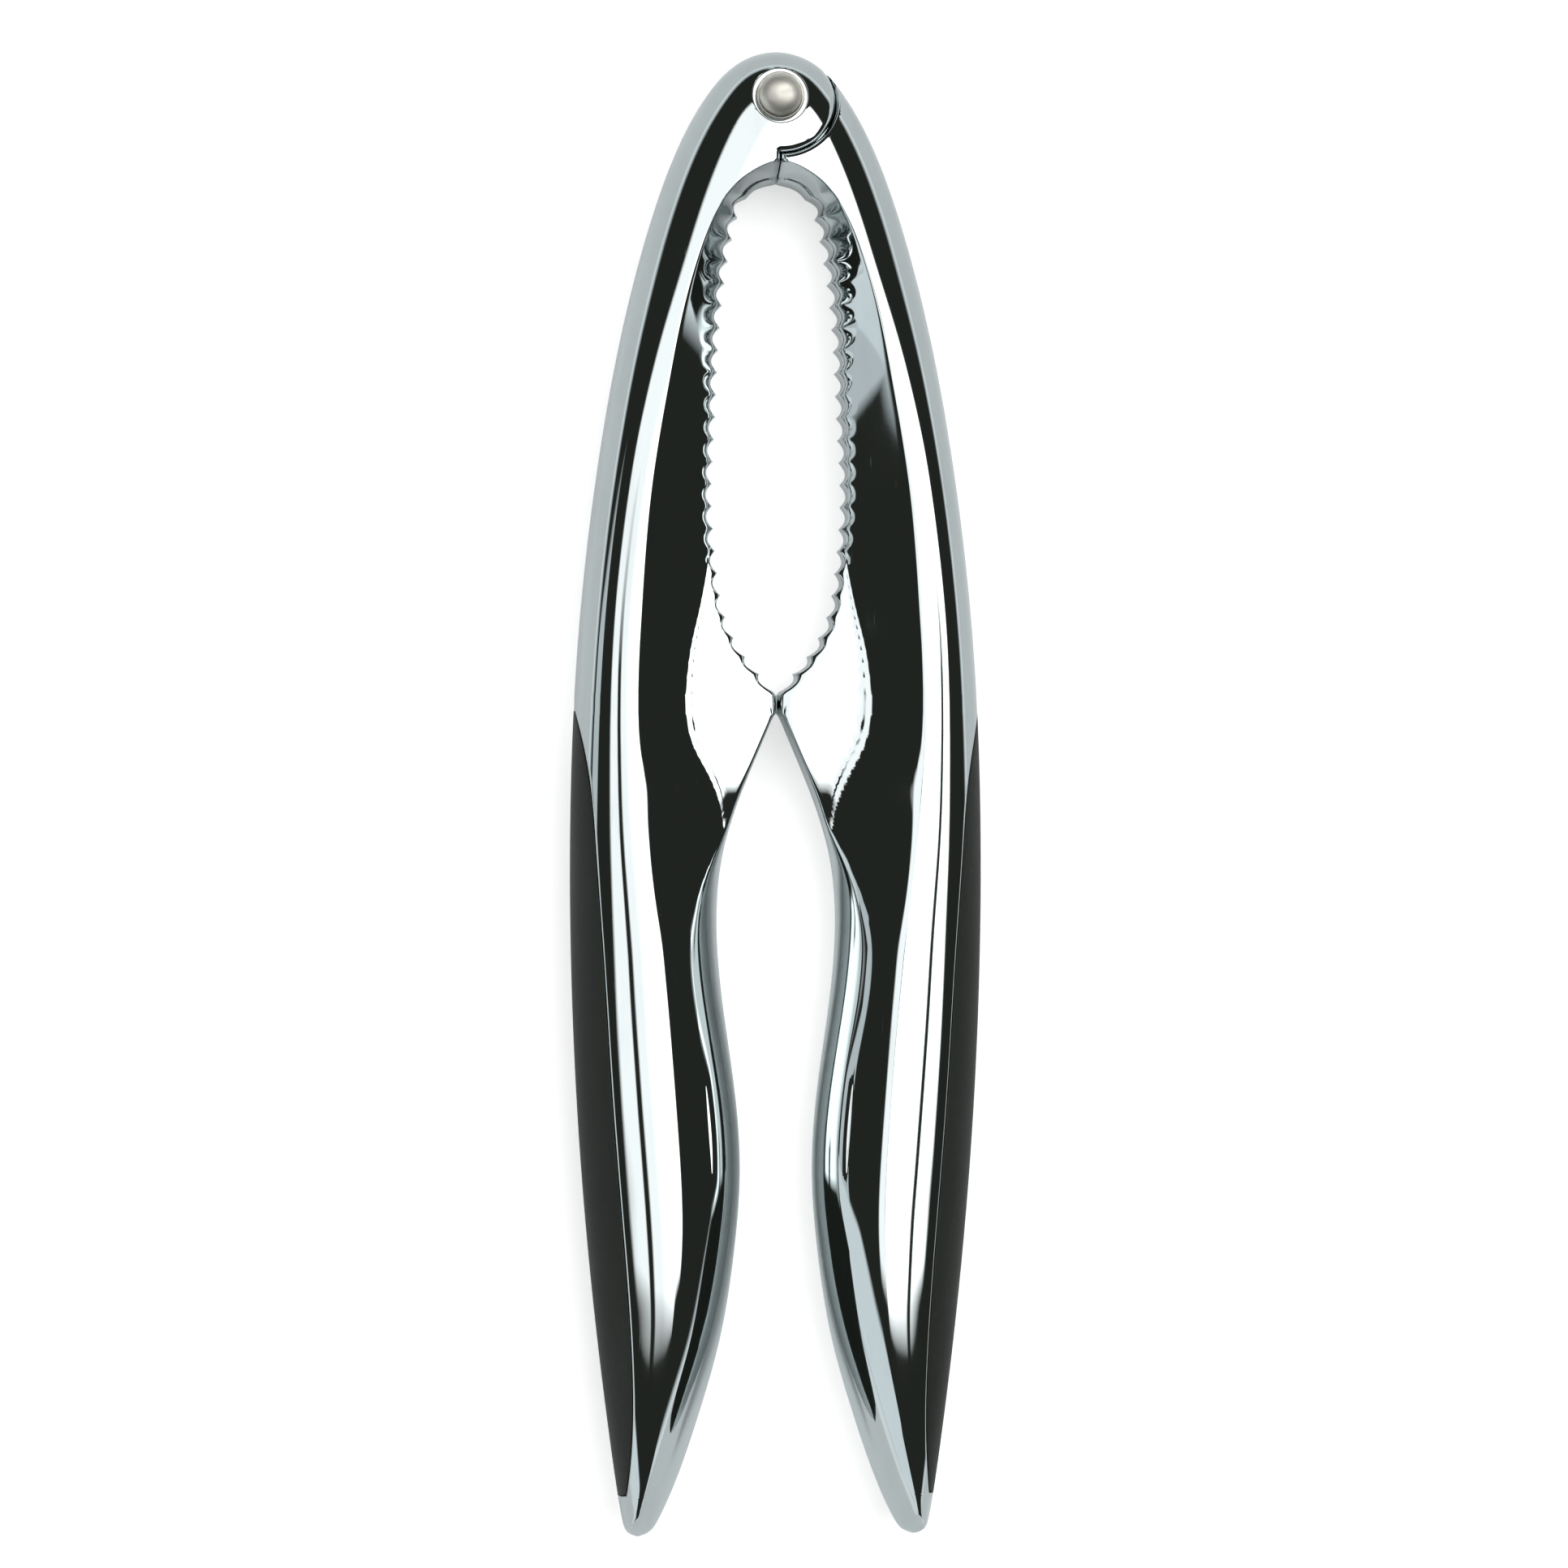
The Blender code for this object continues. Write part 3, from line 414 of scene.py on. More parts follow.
def crest_crossings(inner, outer):
    """How far along each station's line the crest lies, from its inner end."""
    run = outer - inner
    width = np.linalg.norm(run, axis=1)
    shares = np.linspace(0, 1, CROSSING_SAMPLES)
    points = inner[:, None, :] + run[:, None, :] * shares[None, :, None]
    apart, side = distance_to(CREST, points.reshape(-1, 2))
    signed = (apart * np.sign(side)).reshape(len(inner), len(shares))
    past = signed <= 0
    found = past.any(axis=1)
    last = np.clip(past.argmax(axis=1), 1, None)
    rows = np.arange(len(inner))
    before, after = signed[rows, last - 1], signed[rows, last]
    step = before / np.where(before == after, 1, before - after)
    return np.where(found, (shares[last - 1] + np.clip(step, 0, 1) * shares[1]) * width, width / 2)


def eased(start, end, steps, ease_start, ease_end):
    """Points from start up to, but not at, end, closer together at the eased ends."""
    share = np.arange(steps) / steps
    if ease_start and ease_end:
        share = (1 - np.cos(math.pi * share)) / 2
    elif ease_start:
        share = 1 - np.cos(math.pi / 2 * share)
    elif ease_end:
        share = np.sin(math.pi / 2 * share)
    return start[:, None] + (end - start)[:, None] * share[None]


def sample_places(width, edge, crest):
    """Distances from the inner edge at which each section is sampled, finest at its edges and its crest."""
    edge = np.minimum(edge, width * WIDEST_EDGE)
    crest = np.clip(crest, edge, width * FARTHEST_CREST)
    nothing = np.zeros_like(width)
    halfway = (crest + width) / 2
    return np.hstack([
        eased(nothing, edge, EDGE_STEPS, True, False),
        eased(edge, crest, WEB_STEPS, True, True),
        eased(crest, halfway, FLANK_STEPS // 2, True, False),
        eased(halfway, width, FLANK_STEPS // 2, False, True),
        width[:, None],
    ])


# ---------------------------------------------------------------- meshes

def new_object(name, mesh):
    obj = bpy.data.objects.new(name, mesh)
    bpy.context.scene.collection.objects.link(obj)
    return obj


def closed_shell(name, plan, heights):
    """Solid symmetric about the mid-plane over rows of plan points. Its end rows close to a point."""
    rows, columns = heights.shape
    points = []
    top = np.zeros((rows, columns), int)
    bottom = np.zeros((rows, columns), int)
    for row in range(rows):
        if row in (0, rows - 1):
            top[row] = bottom[row] = len(points)
            points.append((*plan[row, 0], MID_Z))
            continue
        for column in range(columns):
            x, y = plan[row, column]
            top[row, column] = len(points)
            points.append((x, y, MID_Z + heights[row, column]))
            if column in (0, columns - 1):
                bottom[row, column] = top[row, column]
            else:
                bottom[row, column] = len(points)
                points.append((x, y, MID_Z - heights[row, column]))
    faces = []
    for side, turn in ((top, 1), (bottom, -1)):
        for row in range(rows - 1):
            for column in range(columns - 1):
                corners = [side[row, column], side[row, column + 1],
                           side[row + 1, column + 1], side[row + 1, column]]
                ring = list(dict.fromkeys(int(corner) for corner in corners))
                if len(ring) > 2:
                    faces.append(ring[::turn])
    mesh = bpy.data.meshes.new(name)
    mesh.from_pydata(points, [], faces)
    upward = sum(face.normal.z for face in mesh.polygons if face.center.z > MID_Z)
    if upward < 0:
        mesh.flip_normals()
    return new_object(name, mesh)


def rounded_at_lap(heights, points):
    """Heights with a rounded rim along the lap joint's edge."""
    from_lap, _ = distance_to(LAP_EDGE, points)
    rounding = np.minimum(LAP_ROUNDING, heights)
    return heights - rounding * (1 - bulge(from_lap / LAP_ROUNDING))


def scallop_shift(points, cut, shape):
    """How far each plan point moves back from the mouth: pointed cusps at the edge, soft waves behind it."""
    from_inner, _ = distance_to(INNER_EDGE, points)
    fade_length = profile(TOOTH_FADE, points[:, 1])
    fade = (1 - np.clip(from_inner / fade_length, 0, 1)).reshape(shape) ** TOOTH_FADE_POWER
    wave = TOOTH_DEPTH * (1 + np.cos(math.pi * np.sqrt(1 - cut / TOOTH_DEPTH))) / 2
    pointed = (1 - np.clip(from_inner / CUSP_REACH, 0, 1)).reshape(shape) ** 2
    return (wave[:, None] + (cut - wave)[:, None] * pointed) * fade


def lever_blank():
    """The left lever with its ear at full thickness, and its scallops."""
    inner, outer, inset, cut = lever_stations()
    run = outer - inner
    width = np.linalg.norm(run, axis=1)
    on_lap = np.arange(len(inner)) > len(inner) - EAR_STATIONS - SPLIT_STATIONS
    edge = np.where(on_lap, LAP_ROUNDING, profile(EDGE_WIDTH, inner[:, 1]))
    places = sample_places(width, edge, crest_crossings(inner, outer))
    unit = run / np.maximum(width, TINY)[:, None]
    plan = inner[:, None, :] + unit[:, None, :] * places[..., None]
    points = plan.reshape(-1, 2)
    heights = rounded_at_lap(half_height(points), points).reshape(places.shape)
    wall = np.minimum(inset, POCKET_ROUNDING)[:, None]
    from_wall = width[:, None] - places
    heights -= wall * (1 - bulge(from_wall / np.maximum(wall, TINY)))
    heights[:, [0, -1]] = 0
    plan += unit[:, None, :] * scallop_shift(points, cut, places.shape)[..., None]
    return closed_shell("lever_blank", plan, heights)


def at_pivot(radius, angle, height):
    """World point at a distance and an angle from the pivot axis, and a height over the mid-plane."""
    return PIVOT[0] + radius * math.cos(angle), PIVOT_Y + radius * math.sin(angle), MID_Z + height


def around(name, ring_points, turns):
    """Closed solid from one profile for each angle about the pivot axis, whose ends lie on the axis."""
    points = [at_pivot(0, 0, ring_points[0][end][1]) for end in (0, -1)]
    for angle, ring in zip(turns, ring_points):
        points += [at_pivot(radius, angle, height) for radius, height in ring[1:-1]]
    inner_count = len(ring_points[0]) - 2
    faces = []
    for turn in range(len(turns)):
        here = 2 + turn * inner_count
        there = 2 + (turn + 1) % len(turns) * inner_count
        faces.append((0, here, there))
        faces.append((1, there + inner_count - 1, here + inner_count - 1))
        for step in range(inner_count - 1):
            faces.append((here + step, here + step + 1, there + step + 1, there + step))
    mesh = bpy.data.meshes.new(name)
    mesh.from_pydata(points, [], faces)
    return new_object(name, mesh)


def full_turn():
    return np.linspace(0, 2 * math.pi, ROUND_SEGMENTS, endpoint=False)


def rounded_rim(radius, height, rounding):
    """Profile points from well above the casting, over a rounded rim at this height and down to the wall."""
    turns = [RIM_TURN * (1 - step / RIM_STEPS) for step in range(RIM_STEPS + 1)]
    rim = [(radius + rounding * (1 - math.cos(turn)), height - rounding * (1 - math.sin(turn)))
           for turn in turns]
    return [(rim[0][0], HALF_THICKNESS + OPEN_END)] + rim


def below(points):
    """The same profile points under the mid-plane, in the opposite order."""
    return [(radius, -height) for radius, height in reversed(points)]


def cutter_profile(recess_height, ear_height):
    """Half section of the lap cutter: the recess and bore, then the seat of the other ear."""
    upper = rounded_rim(RECESS_RADIUS, recess_height, RECESS_ROUNDING)
    lower = rounded_rim(EAR_CLEARANCE_RADIUS, ear_height, LAP_ROUNDING)
    steps = [(RECESS_RADIUS, RECESS_FLOOR), (BORE_RADIUS, RECESS_FLOOR), (BORE_RADIUS, HALF_GAP),
             (EAR_CLEARANCE_RADIUS, HALF_GAP)]
    return [(0, upper[0][1])] + upper + steps + below(lower) + [(0, -lower[0][1])]


def lap_cutter():
    """What the left lever loses at the pivot: the recess and bore above, and the other ear's seat below."""
    turns = full_turn()
    ways = np.stack([np.cos(turns), np.sin(turns)], axis=-1)
    centre = np.array([PIVOT[0], PIVOT_Y])
    recess_heights = half_height(centre + ways * (RECESS_RADIUS + RECESS_ROUNDING / 2))
    ear_heights = half_height(centre + ways * (EAR_CLEARANCE_RADIUS + LAP_ROUNDING / 2))
    _, arch_side = distance_to(ARCH, centre + ways * EAR_CLEARANCE_RADIUS)
    in_lever = (arch_side < 0) & (ways[:, 1] < np.sin(NOTCH_ANGLE))
    ear_heights = np.where(in_lever, ear_heights, np.minimum(ear_heights, HALF_THICKNESS))
    ear_heights = np.maximum(ear_heights, HALF_GAP + 2 * LAP_ROUNDING)
    profiles = [cutter_profile(*heights) for heights in zip(recess_heights, ear_heights)]
    cutter = around("lap_cutter", profiles, turns)
    make_outward(cutter.data)
    return cutter


def make_outward(mesh):
    """Turns a closed mesh's faces outwards."""
    corners = np.array([vertex.co for vertex in mesh.vertices])
    mesh.calc_loop_triangles()
    triangles = np.array([triangle.vertices for triangle in mesh.loop_triangles])
    a, b, c = (corners[triangles[:, side]] for side in range(3))
    if (np.cross(b - a, c - a) * a).sum() < 0:
        mesh.flip_normals()


def cut_away(obj, cutter):
    """Bakes the difference into a plain mesh, and removes both helpers."""
    modifier = obj.modifiers.new("cut", "BOOLEAN")
    modifier.operation = "DIFFERENCE"
    modifier.object = cutter
    modifier.solver = "EXACT"
    bpy.context.view_layer.update()
    graph = bpy.context.evaluated_depsgraph_get()
    mesh = bpy.data.meshes.new_from_object(obj.evaluated_get(graph))
    for helper in (obj, cutter):
        bpy.data.objects.remove(helper, do_unlink=True)
    return mesh


def shade(mesh):
    mesh.shade_smooth()
    mesh.set_sharp_from_angle(angle=SHARP_ANGLE)


def turned_over(mesh, name):
    """A copy turned half a turn about the long axis through the pivot."""
    copy = mesh.copy()
    copy.name = name
    for vertex in copy.vertices:
        vertex.co.x = 2 * PIVOT[0] - vertex.co.x
        vertex.co.z = 2 * MID_Z - vertex.co.z
    return copy


def make_levers():
    mesh = cut_away(lever_blank(), lap_cutter())
    mesh.name = "left_lever_casting"
    shade(mesh)
    left = new_object("left_lever_casting", mesh)
    right = new_object("right_lever_casting", turned_over(mesh, "right_lever_casting"))
    return left, right


def make_grips():
    """The soft insets: the outer flank between the outline and the pocket's wall."""
    share = (1 - np.cos(np.linspace(0, math.pi, GRIP_STATIONS))) / 2
    y = GRIP_LOW + share * (GRIP_HIGH - GRIP_GAP - GRIP_LOW)
    outer = leg_outer_points(y)
    width = np.maximum(grip_inset(y, 0) - GRIP_GAP / 2, 0)
    width *= bulge((y - GRIP_LOW) / GRIP_END_ROUNDING)
    width[-1] = 0
    steps = (1 - np.cos(np.linspace(0, math.pi, GRIP_STEPS))) / 2
    places = steps[None, :] * width[:, None]
    plan = outer[:, None, :] + inward_normals(outer)[:, None, :] * places[..., None]
    heights = half_height(plan.reshape(-1, 2)).reshape(places.shape)
    rounding = np.maximum(np.minimum(width, GRIP_ROUNDING), TINY)[:, None]
    heights -= np.minimum(rounding, heights) * (1 - bulge((width[:, None] - places) / rounding))
    heights[:, [0, -1]] = 0
    left = closed_shell("left_grip_inset", plan, heights)
    shade(left.data)
    right = new_object("right_grip_inset", turned_over(left.data, "right_grip_inset"))
    return left, right


def dome(head_radius, rim, top):
    """Profile from the crown on the axis, out over a rounded shoulder to the side of the head."""
    crown_radius = head_radius - HEAD_CORNER
    arc = [math.pi / 2 * step / DOME_STEPS for step in range(DOME_STEPS + 1)]
    crown = [(crown_radius * math.sin(turn), rim + (top - rim) * math.cos(turn)) for turn in arc[:-1]]
    shoulder = [
        (crown_radius + HEAD_CORNER * math.sin(turn), rim - HEAD_CORNER + HEAD_CORNER * math.cos(turn))
        for turn in arc[::SHOULDER_STRIDE]
    ]
    return crown + shoulder


def rivet_profiles():
    """Half sections of the post, with a domed head in front, and the socket, with a flatter one behind."""
    post_low, post_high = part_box("pivot_post")
    socket_low, socket_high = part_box("pivot_socket")
    head_radius = (post_high[0] - post_low[0]) / 2
    crown, foot = post_high[2] - MID_Z, post_low[2] - MID_Z
    back, sleeve_top = MID_Z - socket_low[2], socket_high[2] - MID_Z
    seat = RECESS_FLOOR + RIVET_GAP
    rim = seat + HEAD_RIM_RISE
    sleeve, inside = BORE_RADIUS - RIVET_GAP, SHANK_RADIUS + RIVET_GAP
    post = dome(head_radius, rim, crown)
    post += [(head_radius, seat), (SHANK_RADIUS, seat), (SHANK_RADIUS, foot), (0, foot)]
    socket = [(0, foot - RIVET_GAP), (inside, foot - RIVET_GAP), (inside, sleeve_top), (sleeve, sleeve_top),
              (sleeve, -seat), (head_radius, -seat)]
    return post, socket + below(dome(head_radius, rim, back))


def turned_piece(name, points):
    """Smooth solid turned about the pivot axis from one half section."""
    turns = full_turn()
    piece = around(name, [points] * len(turns), turns)
    make_outward(piece.data)
    shade(piece.data)
    return piece


def make_rivet():
    post, socket = rivet_profiles()
    return turned_piece("rivet_post", post), turned_piece("rivet_socket", socket)


# ---------------------------------------------------------------- materials

# Noise is given as (scale in cycles per metre, detail, roughness), a bump as (strength, distance in metres),
# and a graded value as (from low, from high, to low, to high).
CHROME_COLOUR = (0.56, 0.605, 0.61)
CHROME_WORN_COLOUR = (0.50, 0.54, 0.545)
CHROME_WAVES, WAVE_BUMP = (70.0, 1.0, 0.5), (0.5, 0.00006)
CHROME_GRAIN, CHROME_GRAIN_BUMP = (1400.0, 3.0, 0.6), (0.05, 0.000004)
WIPE_STRETCH, WIPE_MARKS = (1.0, 0.18, 1.0), (260.0, 4.0, 0.62)
WIPE_WEAR, WIPE_ROUGHNESS = (0.5, 0.8, 0.0, 0.7), (0.3, 0.8, 0.025, 0.06)
HAIR_STRETCH, HAIRLINES = (9.0, 0.35, 9.0), (320.0, 2.0, 0.5)
HAIR_GRADE = (0.70, 0.76, 0.0, 1.0)
HAIR_WEAR, HAIR_ROUGHNESS = 0.5, 0.08
RIGHT_CHROME_SHIFT = (0.31, 0.17, 0)

RUBBER_DARK = (0.013, 0.0160, 0.0125)
RUBBER_LIGHT = (0.022, 0.026, 0.021)
RUBBER_GRAIN, RUBBER_GRAIN_BUMP = (2600.0, 3.0, 0.6), (0.35, 0.00004)
RUBBER_PIT_SCALE, RUBBER_PIT_BUMP = 2200.0, (0.2, 0.00003)
HANDLING_STRETCH, HANDLING_PATCHES = (1.0, 0.3, 1.0), (90.0, 3.0, 0.5)
HANDLING_TONE, HANDLING_ROUGHNESS = (0.3, 0.7, 0.0, 0.8), (0.3, 0.7, 0.62, 0.5)
DUST, DUST_GRADE = (900.0, 2.0, 0.5), (0.62, 0.75, 0.0, 0.5)
RUBBER_IOR, RUBBER_SPECULAR = 1.45, 0.3
RUBBER_SHEEN, RUBBER_SHEEN_ROUGHNESS = 0.05, 0.5
RIGHT_GRIP_SHIFT = (0.2, 0.4, 0)

RIVET_COLOUR = (0.74, 0.72, 0.66)
RIVET_DARK_COLOUR = (0.52, 0.50, 0.46)
TURNED_RINGS, RING_BUMP = (5200.0, 2.0, 0.7), (0.25, 0.00001)
RING_TONE = (0.4, 0.7, 0.0, 0.3)
RIVET_PATCHES, PATCH_TONE, PATCH_ROUGHNESS = (700.0, 3.0, 0.5), (0.35, 0.75, 0.0, 0.6), (0.3, 0.7, 0.42, 0.55)
RIVET_GRAIN, RIVET_GRAIN_BUMP = (4200.0, 2.0, 0.5), (0.15, 0.00001)
FRONT_RING_SHIFT, BACK_RING_SHIFT = 0.0, 0.3


# A colour Mix node's sockets, by number, because their names repeat.
MIX_FACTOR, MIX_FIRST, MIX_SECOND = 0, 6, 7
MIX_RESULT = 2


class Nodes:
    """Short calls for building one material's or world's node tree."""

    def __init__(self, tree):
        self.tree = tree
        tree.nodes.clear()

    def add(self, kind, values=(), **settings):
        """A node with its settings, and its inputs by name: plain values are set and sockets are linked."""
        node = self.tree.nodes.new(kind)
        for setting, value in settings.items():
            setattr(node, setting, value)
        for socket, value in dict(values).items():
            target = node.inputs[socket]
            if isinstance(value, bpy.types.NodeSocket):
                self.tree.links.new(value, target)
            else:
                target.default_value = value
        return node

    def math(self, operation, *values, clamp=False):
        return self.add("ShaderNodeMath", enumerate(values), operation=operation, use_clamp=clamp).outputs[0]

    def noise(self, place, scale, detail, roughness):
        values = {"Vector": place, "Scale": scale, "Detail": detail, "Roughness": roughness}
        return self.add("ShaderNodeTexNoise", values).outputs["Fac"]

    def shifted(self, place, offset):
        return self.add("ShaderNodeMapping", {"Vector": place, "Location": offset}).outputs[0]

    def stretched(self, place, scale):
        return self.add("ShaderNodeMapping", {"Vector": place, "Scale": scale}).outputs[0]

    def ranged(self, value, low, high, to_low, to_high):
        values = {"Value": value, "From Min": low, "From Max": high, "To Min": to_low, "To Max": to_high}
        return self.add("ShaderNodeMapRange", values).outputs["Result"]

    def between(self, factor, first, second):
        """Colour between two, each a socket or an RGB triple, by a linked factor."""
        values = {MIX_FACTOR: factor}
        for socket, colour in ((MIX_FIRST, first), (MIX_SECOND, second)):
            values[socket] = colour if isinstance(colour, bpy.types.NodeSocket) else (*colour, 1)
        return self.add("ShaderNodeMix", values, data_type="RGBA").outputs[MIX_RESULT]

    def bump(self, height, strength, distance, normal=None):
        values = {"Height": height, "Strength": strength, "Distance": distance}
        if normal is not None:
            values["Normal"] = normal
        return self.add("ShaderNodeBump", values).outputs[0]


def new_material(name):
    material = bpy.data.materials.new(name)
    material.use_nodes = True
    nodes = Nodes(material.node_tree)
    return material, nodes, nodes.add("ShaderNodeTexCoord").outputs["Object"]


def finish_material(nodes, values):
    shader = nodes.add("ShaderNodeBsdfPrincipled", values)
    nodes.add("ShaderNodeOutputMaterial", {"Surface": shader.outputs[0]})


def chrome_material(name, shift):
    """Bright chrome plate: slow waviness of the casting below, faint wipe marks and hairline scratches."""
    material, nodes, place = new_material(name)
    place = nodes.shifted(place, shift)
    waves = nodes.noise(place, *CHROME_WAVES)
    grain = nodes.noise(place, *CHROME_GRAIN)
    wipe = nodes.noise(nodes.stretched(place, WIPE_STRETCH), *WIPE_MARKS)
    hair = nodes.noise(nodes.stretched(place, HAIR_STRETCH), *HAIRLINES)
    scratches = nodes.ranged(hair, *HAIR_GRADE)
    scratch_wear = nodes.math("MULTIPLY", scratches, HAIR_WEAR)
    worn = nodes.math("ADD", nodes.ranged(wipe, *WIPE_WEAR), scratch_wear, clamp=True)
    scratch_roughness = nodes.math("MULTIPLY", scratches, HAIR_ROUGHNESS)
    roughness = nodes.math("ADD", nodes.ranged(wipe, *WIPE_ROUGHNESS), scratch_roughness)
    normal = nodes.bump(waves, *WAVE_BUMP)
    normal = nodes.bump(grain, *CHROME_GRAIN_BUMP, normal)
    finish_material(nodes, {
        "Base Color": nodes.between(worn, CHROME_COLOUR, CHROME_WORN_COLOUR), "Metallic": 1.0,
        "Roughness": roughness, "Normal": normal,
    })
    return material


def grip_material(name, shift):
    """Soft-touch elastomer: dark grey-green, with a fine moulded grain and slightly polished patches."""
    material, nodes, place = new_material(name)
    place = nodes.shifted(place, shift)
    grain = nodes.noise(place, *RUBBER_GRAIN)
    pits = nodes.add("ShaderNodeTexVoronoi", {"Vector": place, "Scale": RUBBER_PIT_SCALE}).outputs["Distance"]
    patches = nodes.noise(nodes.stretched(place, HANDLING_STRETCH), *HANDLING_PATCHES)
    dust = nodes.ranged(nodes.noise(place, *DUST), *DUST_GRADE)
    tone = nodes.math("ADD", nodes.ranged(patches, *HANDLING_TONE), dust, clamp=True)
    normal = nodes.bump(grain, *RUBBER_GRAIN_BUMP)
    normal = nodes.bump(pits, *RUBBER_PIT_BUMP, normal)
    finish_material(nodes, {
        "Base Color": nodes.between(tone, RUBBER_DARK, RUBBER_LIGHT),
        "Roughness": nodes.ranged(patches, *HANDLING_ROUGHNESS), "Normal": normal,
        "IOR": RUBBER_IOR, "Specular IOR Level": RUBBER_SPECULAR,
        "Sheen Weight": RUBBER_SHEEN, "Sheen Roughness": RUBBER_SHEEN_ROUGHNESS,
    })
    return material


def rivet_material(name, ring_shift):
    """Satin metal, turned: faint rings about the pivot axis, dulled unevenly."""
    material, nodes, place = new_material(name)
    place = nodes.shifted(place, (-PIVOT[0], -PIVOT_Y, 0.0))
    flat = nodes.add("ShaderNodeVectorMath", {0: place, 1: (1.0, 1.0, 0.0)}, operation="MULTIPLY").outputs[0]
    radius = nodes.add("ShaderNodeVectorMath", {0: flat}, operation="LENGTH").outputs["Value"]
    along = nodes.add("ShaderNodeCombineXYZ", {"X": radius, "Y": ring_shift}).outputs[0]
    rings = nodes.noise(along, *TURNED_RINGS)
    patches = nodes.noise(place, *RIVET_PATCHES)
    grain = nodes.noise(place, *RIVET_GRAIN)
    tone = nodes.math("ADD", nodes.ranged(patches, *PATCH_TONE), nodes.ranged(rings, *RING_TONE))
    normal = nodes.bump(rings, *RING_BUMP)
    normal = nodes.bump(grain, *RIVET_GRAIN_BUMP, normal)
    finish_material(nodes, {
        "Base Color": nodes.between(tone, RIVET_COLOUR, RIVET_DARK_COLOUR), "Metallic": 1.0,
        "Roughness": nodes.ranged(patches, *PATCH_ROUGHNESS), "Normal": normal,
    })
    return material


def dress(piece, body, node, material):
    """Puts a finished piece in place of its CAD node."""
    piece.data.materials.clear()
    piece.data.materials.append(material)
    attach(piece, body)
    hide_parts(node)


# ---------------------------------------------------------------- studio

FLOOR_SIZE = 6.0
FLOOR_SPECKLE = (30.0, 3.0, 0.5)
FLOOR_TONES = (0.84, 0.87, 0.88), (0.86, 0.89, 0.90)
FLOOR_SEEN_TONE = (0.95, 0.95, 0.95)
FLOOR_ROUGHNESS = 0.9
FLOOR_GLOW, FLOOR_SEEN_GLOW = 0.14, 0.6
WHITE = (1.0, 1.0, 1.0)

# The sky is a pattern over directions: across and along are X and Y over Z. A band is (low, high, softness
# of its edges), and an edge is (place, softness).
LOWEST_Z = 0.02
SKY_WHITE, SKY_OFF_WHITE = 3.2, 1.6
OFF_WHITE_ACROSS = (-0.06, 0.2)
BOX_ACROSS, BOX_ALONG = (-0.76, 1.02, 0.05), (-0.17, 0.75, 0.04)
RIGHT_SEAM_ACROSS, LEFT_SEAM_ACROSS = (0.42, 0.54, 0.02), (-0.34, -0.20, 0.02)
SEAM_END_ALONG = (0.07, 0.04)
WINDOW_ACROSS, WINDOW_ALONG = (-12.0, -1.4, 0.1), (-8.0, -0.20, 0.03)
PANEL_ACROSS, PANEL_ALONG = (-4.8, -2.1, 0.08), (-0.5, 0.5, 0.1)
PANEL_BRIGHTNESS = 0.75
HORIZON_TOP = (0.10, 0.05)
ROOM_DARK, WINDOW_LIGHT, HORIZON_LIGHT = (0.026, 0.0285, 0.0235), (0.95, 1.02, 1.05), (1.0, 1.05, 1.07)

CAMERA_TILT = math.radians(5.5)
CAMERA_DISTANCE = 0.700
CAMERA_TARGET = (0.0009, 0.0012, 0.0085)
CAMERA_LENS = 129.0
CAMERA_NEAREST = 0.01


def make_floor():
    """White paper, paler to the camera than to the reflections in the chrome."""
    bpy.ops.mesh.primitive_plane_add(size=FLOOR_SIZE)
    floor = bpy.context.object
    floor.name = "studio_floor"
    material, nodes, place = new_material("studio_paper")
    speckle = nodes.noise(place, *FLOOR_SPECKLE)
    seen = nodes.add("ShaderNodeLightPath").outputs["Is Camera Ray"]
    plain = nodes.between(speckle, *FLOOR_TONES)
    finish_material(nodes, {
        "Base Color": nodes.between(seen, plain, FLOOR_SEEN_TONE), "Roughness": FLOOR_ROUGHNESS,
        "Specular IOR Level": 0.0, "Emission Color": (*WHITE, 1),
        "Emission Strength": nodes.ranged(seen, 0.0, 1.0, FLOOR_GLOW, FLOOR_SEEN_GLOW),
    })
    floor.data.materials.append(material)


class SkyNodes(Nodes):
    """Node calls for masks, which are 0 or 1 with soft edges."""

    def both(self, first, second):
        return self.math("MULTIPLY", first, second)

    def outside(self, mask):
        return self.math("SUBTRACT", 1.0, mask)

    def above(self, value, edge, softness):
        return self.ranged(value, edge - softness, edge + softness, 0.0, 1.0)

    def band(self, value, low, high, softness):
        return self.both(self.above(value, low, softness), self.outside(self.above(value, high, softness)))


def box_mask(nodes, across, along):
    """The white box overhead, less the two seams in its lower part."""
    box = nodes.both(nodes.band(across, *BOX_ACROSS), nodes.band(along, *BOX_ALONG))
    seams = nodes.math("ADD", nodes.band(across, *RIGHT_SEAM_ACROSS), nodes.band(across, *LEFT_SEAM_ACROSS))
    seams = nodes.both(seams, nodes.outside(nodes.above(along, *SEAM_END_ALONG)))
    return nodes.both(box, nodes.outside(seams))


def window_mask(nodes, across, along):
    """The low window on the left, with a dimmer panel beside it."""
    window = nodes.both(nodes.band(across, *WINDOW_ACROSS), nodes.band(along, *WINDOW_ALONG))
    panel = nodes.both(nodes.band(across, *PANEL_ACROSS), nodes.band(along, *PANEL_ALONG))
    return nodes.math("MAXIMUM", window, nodes.both(panel, PANEL_BRIGHTNESS))


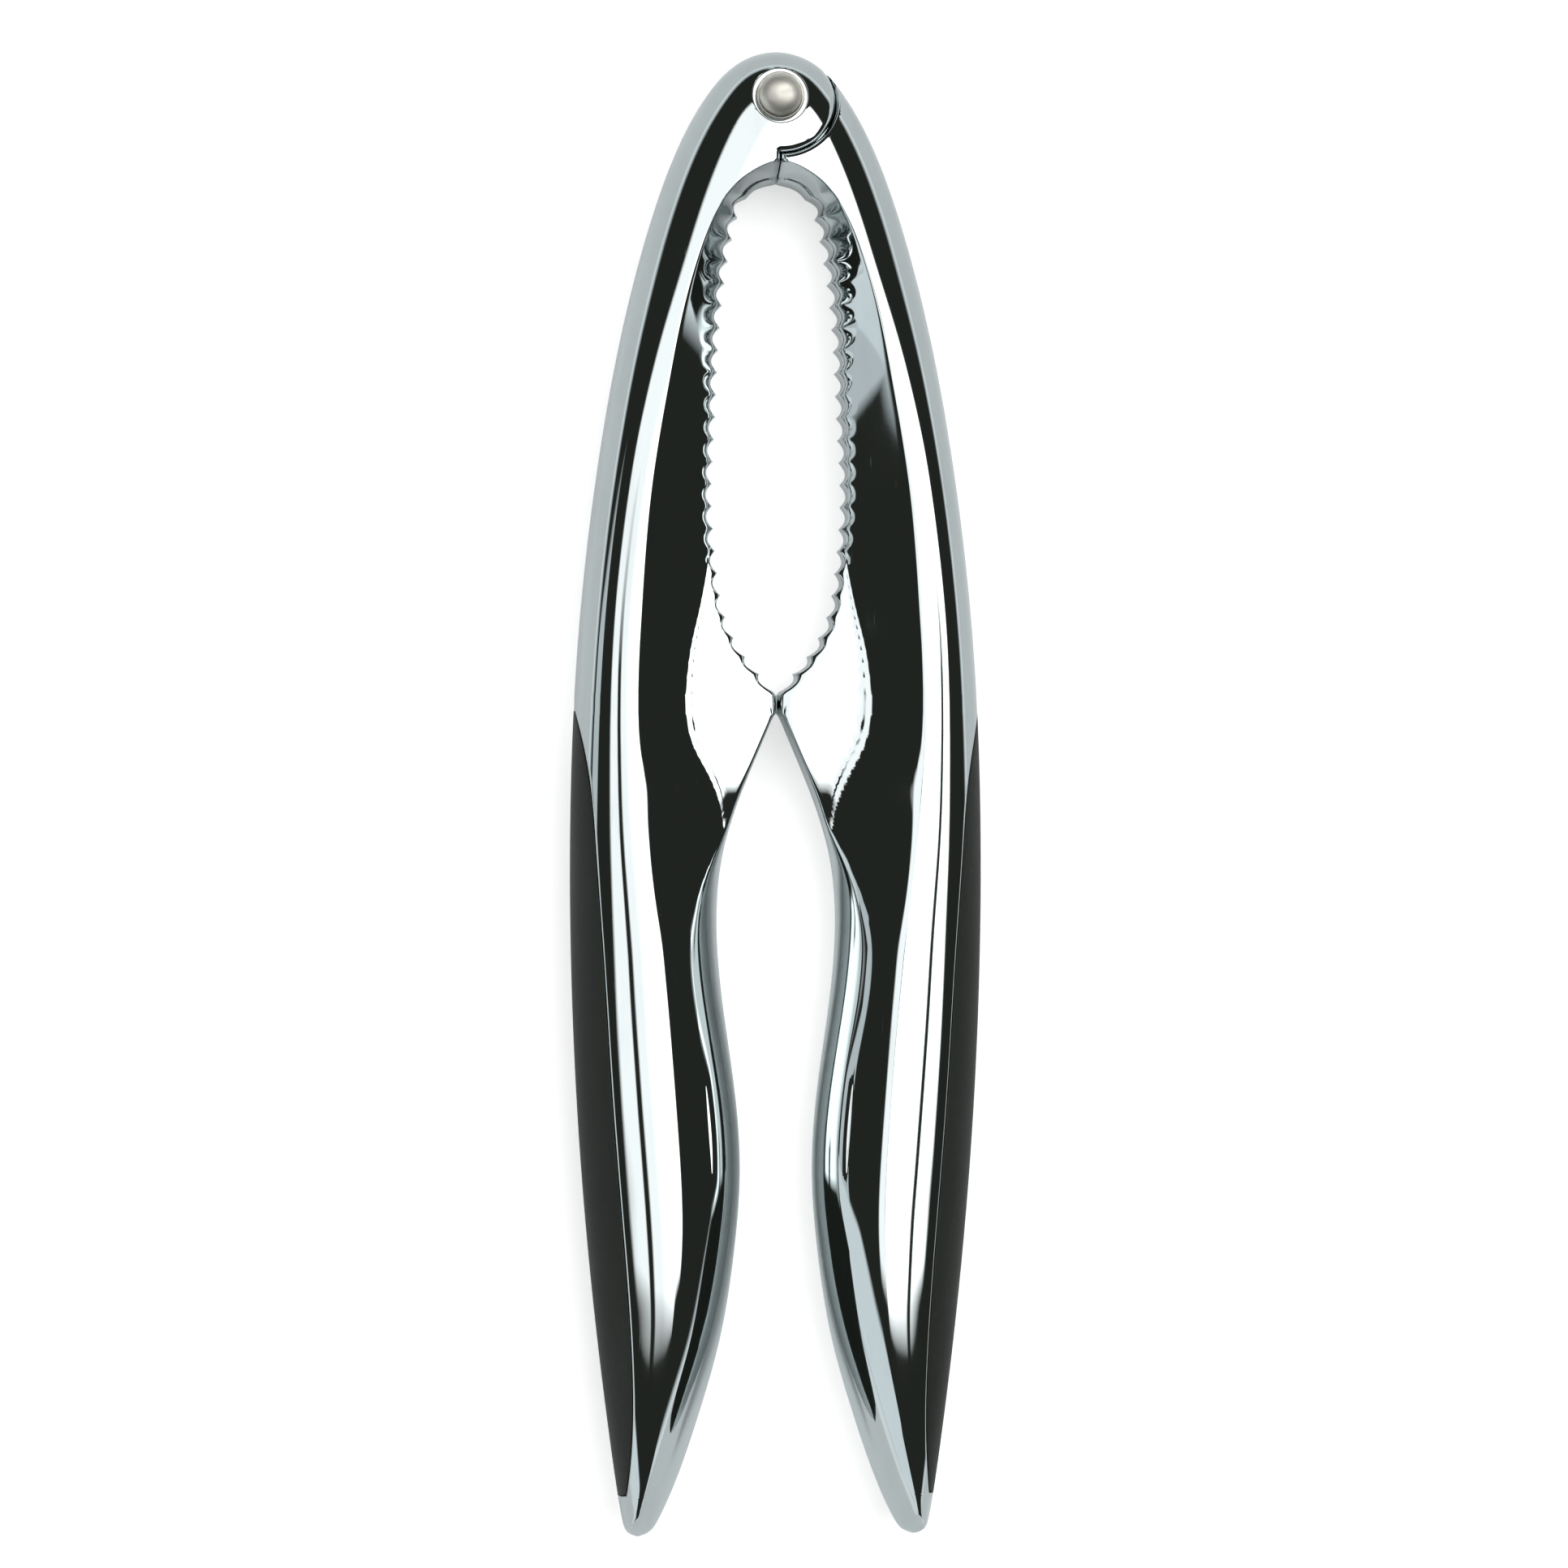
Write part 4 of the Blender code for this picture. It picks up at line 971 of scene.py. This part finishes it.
def make_sky():
    """What the chrome reflects: a white box with seams, a window, a dark room and a pale horizon.

    The camera itself sees plain white.
    """
    world = bpy.data.worlds.new("studio")
    world.use_nodes = True
    bpy.context.scene.world = world
    nodes = SkyNodes(world.node_tree)
    way = nodes.add("ShaderNodeTexCoord").outputs["Generated"]
    parts = nodes.add("ShaderNodeSeparateXYZ", {"Vector": way}).outputs
    height = nodes.math("MAXIMUM", parts["Z"], LOWEST_Z)
    across = nodes.math("DIVIDE", parts["X"], height)
    along = nodes.math("DIVIDE", parts["Y"], height)
    dark = nodes.between(window_mask(nodes, across, along), ROOM_DARK, WINDOW_LIGHT)
    horizon = nodes.outside(nodes.above(parts["Z"], *HORIZON_TOP))
    room = nodes.between(horizon, dark, HORIZON_LIGHT)
    white = nodes.ranged(across, *OFF_WHITE_ACROSS, SKY_OFF_WHITE, SKY_WHITE)
    sky = nodes.between(box_mask(nodes, across, along), room, white)
    seen = nodes.add("ShaderNodeLightPath").outputs["Is Camera Ray"]
    shown = nodes.between(seen, sky, WHITE)
    background = nodes.add("ShaderNodeBackground", {"Color": shown, "Strength": 1.0})
    nodes.add("ShaderNodeOutputWorld", {"Surface": background.outputs[0]})


def make_camera():
    camera = bpy.data.cameras.new("camera")
    camera.lens = CAMERA_LENS
    camera.clip_start = CAMERA_NEAREST
    obj = bpy.data.objects.new("camera", camera)
    bpy.context.scene.collection.objects.link(obj)
    x, y, z = CAMERA_TARGET
    aside, up = math.sin(CAMERA_TILT), math.cos(CAMERA_TILT)
    obj.location = (x - CAMERA_DISTANCE * aside, y, z + CAMERA_DISTANCE * up)
    obj.rotation_euler = (0, -CAMERA_TILT, 0)
    bpy.context.scene.camera = obj


def main():
    left, right = make_levers()
    left_grip, right_grip = make_grips()
    post, socket = make_rivet()
    left_chrome = chrome_material("chrome_left", (0, 0, 0))
    right_chrome = chrome_material("chrome_right", RIGHT_CHROME_SHIFT)
    left_rubber = grip_material("grip_left", (0, 0, 0))
    right_rubber = grip_material("grip_right", RIGHT_GRIP_SHIFT)
    front_metal = rivet_material("rivet_front", FRONT_RING_SHIFT)
    back_metal = rivet_material("rivet_back", BACK_RING_SHIFT)
    dress(left, "left_half", "left_lever", left_chrome)
    dress(right, "right_half", "right_lever", right_chrome)
    dress(left_grip, "left_half", "left_grip", left_rubber)
    dress(right_grip, "right_half", "right_grip", right_rubber)
    dress(post, "left_half", "pivot_post", front_metal)
    dress(socket, "left_half", "pivot_socket", back_metal)
    make_floor()
    make_sky()
    make_camera()
    bpy.context.scene.view_settings.view_transform = "Standard"


main()
